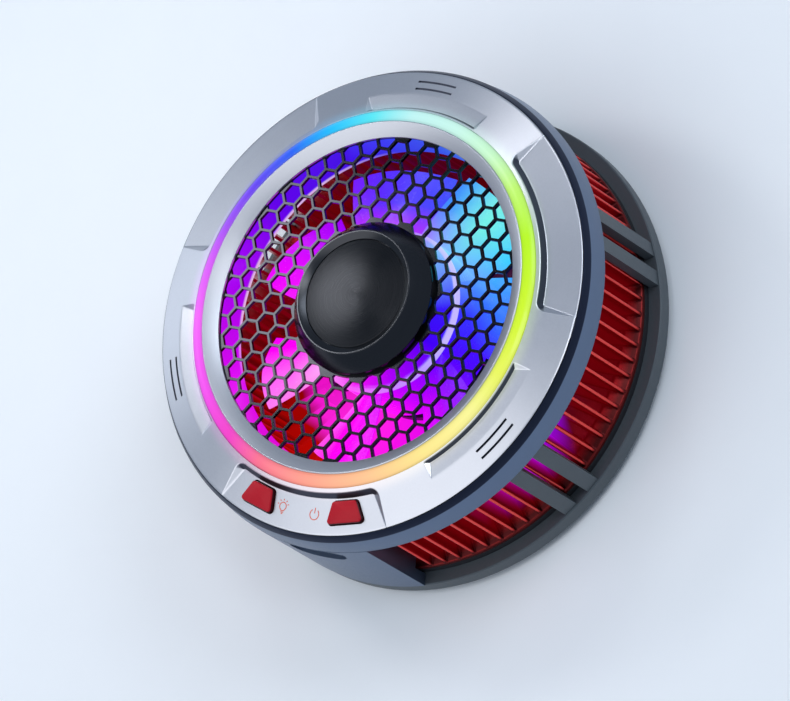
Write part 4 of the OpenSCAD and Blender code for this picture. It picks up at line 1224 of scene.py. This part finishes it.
def blade_finish():
    """Clear plastic wheel with painted light: a glow in the colours of the light inside, paler where a
    highlight is painted, and a painted highlight on the edge of its hub.
    """
    made = Finish("Lit blades", coat=0.15, scale=1500.0, contrast=0.06)
    where = made.where()
    outer = ramp(made.tree, where["Turn"], wheel(BLADE_WHEEL))
    inner = ramp(made.tree, where["Turn"], wheel(BLADE_INNER_WHEEL))
    share = remap(made.tree, where["Radius"], *BLADE_CHANGE)
    hues = blend(made.tree, "MIX", share, inner, outer)
    # Painted highlight: a pale lilac line along the top edge of the fan's hub.
    rim = remap(made.tree, where["Radius"], *HUB_EDGE)
    root = math_node(made.tree, "LESS_THAN", where["Radius"], reach("rotor_yoke") + 0.98)
    high = math_node(made.tree, "GREATER_THAN", where["Height"], FAN_TOP - 1.0)
    edge = math_node(made.tree, "MULTIPLY", math_node(made.tree, "MULTIPLY", rim, root), high)
    highlight_arc = ramp(made.tree, where["Turn"], greys(((turn + 180) / 360, value) for turn, value in HUB_HIGHLIGHT_ARC))
    highlight_edge = blend(made.tree, "MULTIPLY", 1.0, highlight_arc, edge)
    hues = blend(made.tree, "MIX", highlight_edge, hues, (0.72, 0.62, 1.0, 1.0))
    made.paint(blend(made.tree, "MULTIPLY", 1.0, hues, (0.2, 0.2, 0.2, 1.0)))
    return made.rough(0.2, 0.32).glow(hues, 0.9).material


def duct_finish():
    """Wall of the duct, with the light of the ring above it painted on as a glow, and a painted highlight
    along its lower edge.
    """
    made = Finish("Lit duct", coat=0.2, scale=1500.0, contrast=0.06)
    where = made.where()
    hues = ramp(made.tree, where["Turn"], wheel(DUCT_WHEEL))
    # Painted highlight: a pale pink line along the lower edge of the duct.
    around_turn = [((turn + 180) % 360 / 360, value) for turn, value in DUCT_EDGE_HIGHLIGHT]
    highlight_arc = ramp(made.tree, where["Turn"], greys(around_turn))
    foot = bottom("fan_duct")
    low = remap(made.tree, where["Height"], foot + 0.35, foot + 0.7, 0.8, 0.0)
    edge = blend(made.tree, "MULTIPLY", 1.0, highlight_arc, low)
    hues = blend(made.tree, "MIX", edge, hues, (1.0, 0.72, 0.85, 1.0))
    made.paint(blend(made.tree, "MULTIPLY", 1.0, hues, (0.2, 0.2, 0.2, 1.0)))
    return made.rough(0.25, 0.4).glow(hues, 0.75).material


# Heat sink


class CoolerHeatSink(bpy.types.Operator):
    """Builds the red plate with its crown of radial fins"""

    bl_idname = "cooler.heatsink"
    bl_label = "Heat sink"

    def execute(self, context):
        count = sizes().fin_count
        made = Finish("Red anodising", metallic=0.8, scale=2600.0, contrast=0.12)
        plate_top = SINK_LOW + 2.2
        where = made.where()
        # Painted shade: darker inward from the outer fin edges, low down near the plate and inside the fan's
        # radius.
        dark = 0.12
        outside = remap(made.tree, where["Radius"], PLATE_R - 1.0, PLATE_R - 0.1, 0.6, 1.0)
        above = remap(made.tree, where["Height"], plate_top - 0.7, plate_top + 0.3, dark, 1.0)
        beyond = remap(made.tree, where["Radius"], 24.2, 25.5, dark, 1.0)
        above = math_node(made.tree, "MULTIPLY", above, beyond)
        # Painted highlight: a bright orange-red line along the outer edges of the fins.
        edge = remap(made.tree, where["Radius"], PLATE_R - 0.22, PLATE_R - 0.12)
        tone = math_node(made.tree, "MULTIPLY", outside, above)
        shade = blend(made.tree, "MULTIPLY", 1.0, (*colours().fins, 1.0), tone)
        painted_edge_highlight = math_node(made.tree, "MULTIPLY", edge, above)
        shade = blend(made.tree, "MIX", painted_edge_highlight, shade, (0.95, 0.07, 0.06, 1.0))
        finish = inner_light(made.paint(shade).rough(0.24, 0.38).relief(0.006, 0.25), above).material
        rise_r = PLATE_R - 2.0
        loop = rounded([
            (0.0, plate_top, 0), (rise_r, plate_top, 1.2), (PLATE_R, plate_top - 1.0, 0.2),
            (PLATE_R, SINK_LOW + 0.5, 0.1), (PLATE_R - 1.0, SINK_LOW + 0.5, 0), (PLATE_R - 1.0, SINK_LOW, 0),
            (0.0, SINK_LOW, 0),
        ])
        plate = revolve("plate", loop, 192, closed=False)
        tall = fin_piece("fin", 24.0, PLATE_R - 0.05, plate_top, rise_r, FIN_TOP)
        crown = around("crown", tall, count, 0.6, finish, PORT_TURN, PORT_HALF + 1.2)
        low = fin_piece("low_fin", 16.7, 24.05, plate_top, rise_r, plate_top + 2.6)
        low_crown = around("low_crown", low, count // 2, 0.6, finish, PORT_TURN, 14.9)
        sink = joined("fin_crown", [plate, crown, low_crown], sharp=40)
        place(sink, "housing", "heatsink", finish)
        return {"FINISHED"}


def inner_light(made, above=1.0):
    """Painted light of the fan: a glow by turn on the inner pieces, and a red glow between the fins above the
    plate.
    """
    where = made.where()
    share = remap(made.tree, where["Radius"], *SINK_CHANGE)
    inner = ramp(made.tree, where["Turn"], wheel(SINK_WHEEL))
    outer = ramp(made.tree, where["Turn"], wheel(SINK_OUTER_WHEEL))
    hues = blend(made.tree, "MIX", share, inner, outer)
    around_turn = [(turn / 360 + 0.5, value) for turn, value in LIGHT_REACH]
    ends = ramp(made.tree, where["Turn"], greys(around_turn))
    near = remap(made.tree, where["Radius"], 23.8, ends, 1.0, 0.0, interpolation_type="SMOOTHSTEP")
    within = remap(made.tree, where["Radius"], PLATE_R - 1.6, PLATE_R - 0.3, 1.0, 0.0)
    between = math_node(made.tree, "MULTIPLY", within, above)
    # Painted red glow between the fins.
    red = blend(made.tree, "MULTIPLY", 1.0, (0.087, 0.0003, 0.002, 1.0), between)
    lit = blend(made.tree, "MULTIPLY", 1.0, hues, near)
    return made.glow(blend(made.tree, "ADD", 1.0, lit, red), 0.9)


def fin_piece(name, r_in, r_out, plate_top, rise_r, height):
    """One fin along +x, with filleted feet and a rounded outer edge."""
    half = sizes().fin_thickness / MM / 2
    foot = sizes().fin_foot / MM
    steps = [0.0, 0.25, 0.55, 1.0]
    nose = [(r_out - 0.16, 1.0), (r_out - 0.05, 0.75), (r_out, 0.35)]
    stations = [(r_in, 1.0), *[(r, 1.0) for r in (rise_r, 31.4) if r_in < r < r_out - 0.2], *nose]
    loops = []
    for r, share in stations:
        ground = plate_top - max(0.0, r - rise_r) / 2
        right = [(r, half * share + foot, ground - 0.5)]
        for s in steps:
            flare = foot * (1 - math.sqrt(1 - (1 - s) ** 2)) * (0.4 + 0.6 * share)
            right.append((r, half * share + flare, ground + foot * s))
        right.append((r, half * share, height))
        left = [(x, -y, z) for x, y, z in reversed(right)]
        loops.append([*right, *left])
    return loft(name, loops)


# Base


class CoolerBase(bpy.types.Operator):
    """Finishes the tray, the seal and the pieces that meet the phone"""

    bl_idname = "cooler.base"
    bl_label = "Base"

    def execute(self, context):
        made = Finish("Tray grey", metallic=0.2, scale=2200.0, contrast=0.14)
        dress("base_tray", made.paint(colours().tray).rough(0.36, 0.55).relief(0.01, 0.3).material)
        made = Finish("Soft black", scale=1600.0, contrast=0.2)
        rubber = made.paint((0.012, 0.012, 0.016)).rough(0.45, 0.65).relief(0.02, 0.3).material
        for node in ("seal_ring", "insulation_foam"):
            dress(node, rubber)
        made = Finish("Lead black", scale=1600.0, contrast=0.2)
        made.paint((0.012, 0.012, 0.016)).rough(0.45, 0.65).relief(0.02, 0.3)
        # The leads take the painted glow of the fan's light.
        dress("fan_leads", inner_light(made).material)
        made = Finish("Contact pad", scale=1200.0, contrast=0.16)
        dress("contact_pad", made.paint((0.07, 0.07, 0.08)).rough(0.6, 0.8).relief(0.03, 0.35).material)
        made = Finish("Turned aluminium", metallic=1.0, group=turned_group, fineness=10.0, contrast=0.25)
        dress("cold_plate", made.paint((0.68, 0.69, 0.71)).rough(0.24, 0.42).relief(0.006, 0.3).material)
        return {"FINISHED"}


class CoolerInside(bpy.types.Operator):
    """Finishes the boards, the motor and the other inner pieces"""

    bl_idname = "cooler.inside"
    bl_label = "Inside"

    def execute(self, context):
        finishes = {
            "Board green": ((0.012, 0.12, 0.05), 0.0, ("main_board", "motor_board")),
            "Part white": ((0.75, 0.75, 0.72), 0.0, ("led_chips", "peltier_module", "shaft_clip")),
            "Part black": (
                (0.015, 0.015, 0.017), 0.0, ("tact_switches", "board_chips", "motor_base", "rotor_magnet"),
            ),
            "Lead red": ((0.45, 0.015, 0.015), 0.0, ("module_leads",)),
            "Sleeve bronze": ((0.42, 0.26, 0.11), 1.0, ("bearing_sleeve",)),
            "Coil copper": ((0.62, 0.26, 0.09), 1.0, ("stator_coils",)),
        }
        for name, (shade, metallic, nodes) in finishes.items():
            made = Finish(name, metallic=metallic, scale=1400.0, contrast=0.2)
            finish = made.paint(shade).rough(0.32, 0.5).relief(0.01, 0.3).material
            for node in nodes:
                dress(node, finish)
        steel = steel_finish()
        for node in ("base_screws", "motor_screws", "magnet_ring", "stator_core", "rotor_yoke", "fan_shaft"):
            dress(node, steel)
        return {"FINISHED"}


# Stage


class CoolerStage(bpy.types.Operator):
    """Sets the floor, the light and the camera"""

    bl_idname = "cooler.stage"
    bl_label = "Stage"

    def execute(self, context):
        half = 4000.0
        level = -0.05
        corners = [(-half, -half, level), (half, -half, level), (half, half, level), (-half, half, level)]
        floor = mesh_object("floor", corners, [(0, 1, 2, 3)])
        made = Finish("Pale floor", scale=120.0, contrast=0.02)
        floor.data.materials.append(made.paint(colours().floor).rough(0.7, 0.8).material)

        world = bpy.data.worlds.new("Studio")
        world.use_nodes = True
        sky = world.node_tree.nodes["Background"]
        sky.inputs["Color"].default_value = (0.7, 0.86, 1.1, 1.0)
        sky.inputs["Strength"].default_value = 0.35
        context.scene.world = world

        lamp("key", (-0.756, -0.151, 0.637), 1.0, 2.9, (1.0, 0.99, 0.97))
        lamp("over", (-0.40, 0.84, 0.36), 0.2, 0.34, (1.0, 1.0, 1.0))
        lamp("side", (-0.046, 0.347, 0.937), 0.2, 0.55, (1.0, 1.0, 1.0))
        lamp("left", (-0.9, 0.32, -0.3), 0.4, 0.4, (0.88, 0.94, 1.0))
        lamp("fill", (0.245, 0.679, 0.692), 0.4, 1.6, (0.86, 0.93, 1.0))
        lamp("near", (-0.817, 0.502, 0.283), 0.036, 0.032, (1.0, 1.0, 1.0), (-0.018, 0.001, 0.0248), 0.13)

        camera = bpy.data.objects.new("camera", bpy.data.cameras.new("camera"))
        camera.data.lens = VIEW_LENS
        camera.data.sensor_width = 36.0
        camera.data.clip_end = 100.0
        turn = Matrix((VIEW_RIGHT, VIEW_UP, VIEW_BACK)).transposed().to_4x4()
        camera.matrix_world = Matrix.Translation(VIEW_FROM) @ turn
        context.scene.collection.objects.link(camera)
        context.scene.camera = camera
        context.scene.view_settings.view_transform = "Standard"
        return {"FINISHED"}


def lamp(name, way, size, power, shade, middle=(0.0, 0.0, 0.02), away=0.8):
    """Soft lamp that looks at a point from a direction given as right, up and towards the camera."""
    data = bpy.data.lights.new(name, "AREA")
    data.shape = "DISK"
    data.size = size
    data.energy = power
    data.color = shade
    out = (VIEW_RIGHT * way[0] + VIEW_UP * way[1] + VIEW_BACK * way[2]).normalized()
    made = bpy.data.objects.new(name, data)
    made.location = Vector(middle) + out * away
    made.rotation_euler = out.to_track_quat("Z", "Y").to_euler()
    bpy.context.scene.collection.objects.link(made)


class CoolerPanel(bpy.types.Panel):
    """Lists the pieces of the cooler"""

    bl_idname = "VIEW3D_PT_cooler"
    bl_label = "Cooler"
    bl_space_type = "VIEW_3D"
    bl_region_type = "UI"
    bl_category = "Cooler"

    def draw(self, context):
        for group in (context.scene.cooler_sizes, context.scene.cooler_colours):
            for label in group.__annotations__:
                self.layout.prop(group, label)
        for step in STEPS:
            self.layout.operator(step.bl_idname)


STEPS = (
    CoolerFace, CoolerShell, CoolerLight, CoolerGrille, CoolerHub, CoolerButtons,
    CoolerFan, CoolerHeatSink, CoolerBase, CoolerInside, CoolerStage,
)
CLASSES = (CoolerSizes, CoolerColours, *STEPS, CoolerPanel)


def register():
    """Registers the classes and their settings."""
    for kind in CLASSES:
        bpy.utils.register_class(kind)
    bpy.types.Scene.cooler_sizes = bpy.props.PointerProperty(type=CoolerSizes)
    bpy.types.Scene.cooler_colours = bpy.props.PointerProperty(type=CoolerColours)


def unregister():
    """Removes the settings and the classes."""
    del bpy.types.Scene.cooler_colours
    del bpy.types.Scene.cooler_sizes
    for kind in reversed(CLASSES):
        bpy.utils.unregister_class(kind)


def main():
    """Builds the whole model."""
    register()
    for step in STEPS:
        group, name = step.bl_idname.split(".")
        getattr(getattr(bpy.ops, group), name)()


if __name__ == "__main__":
    main()
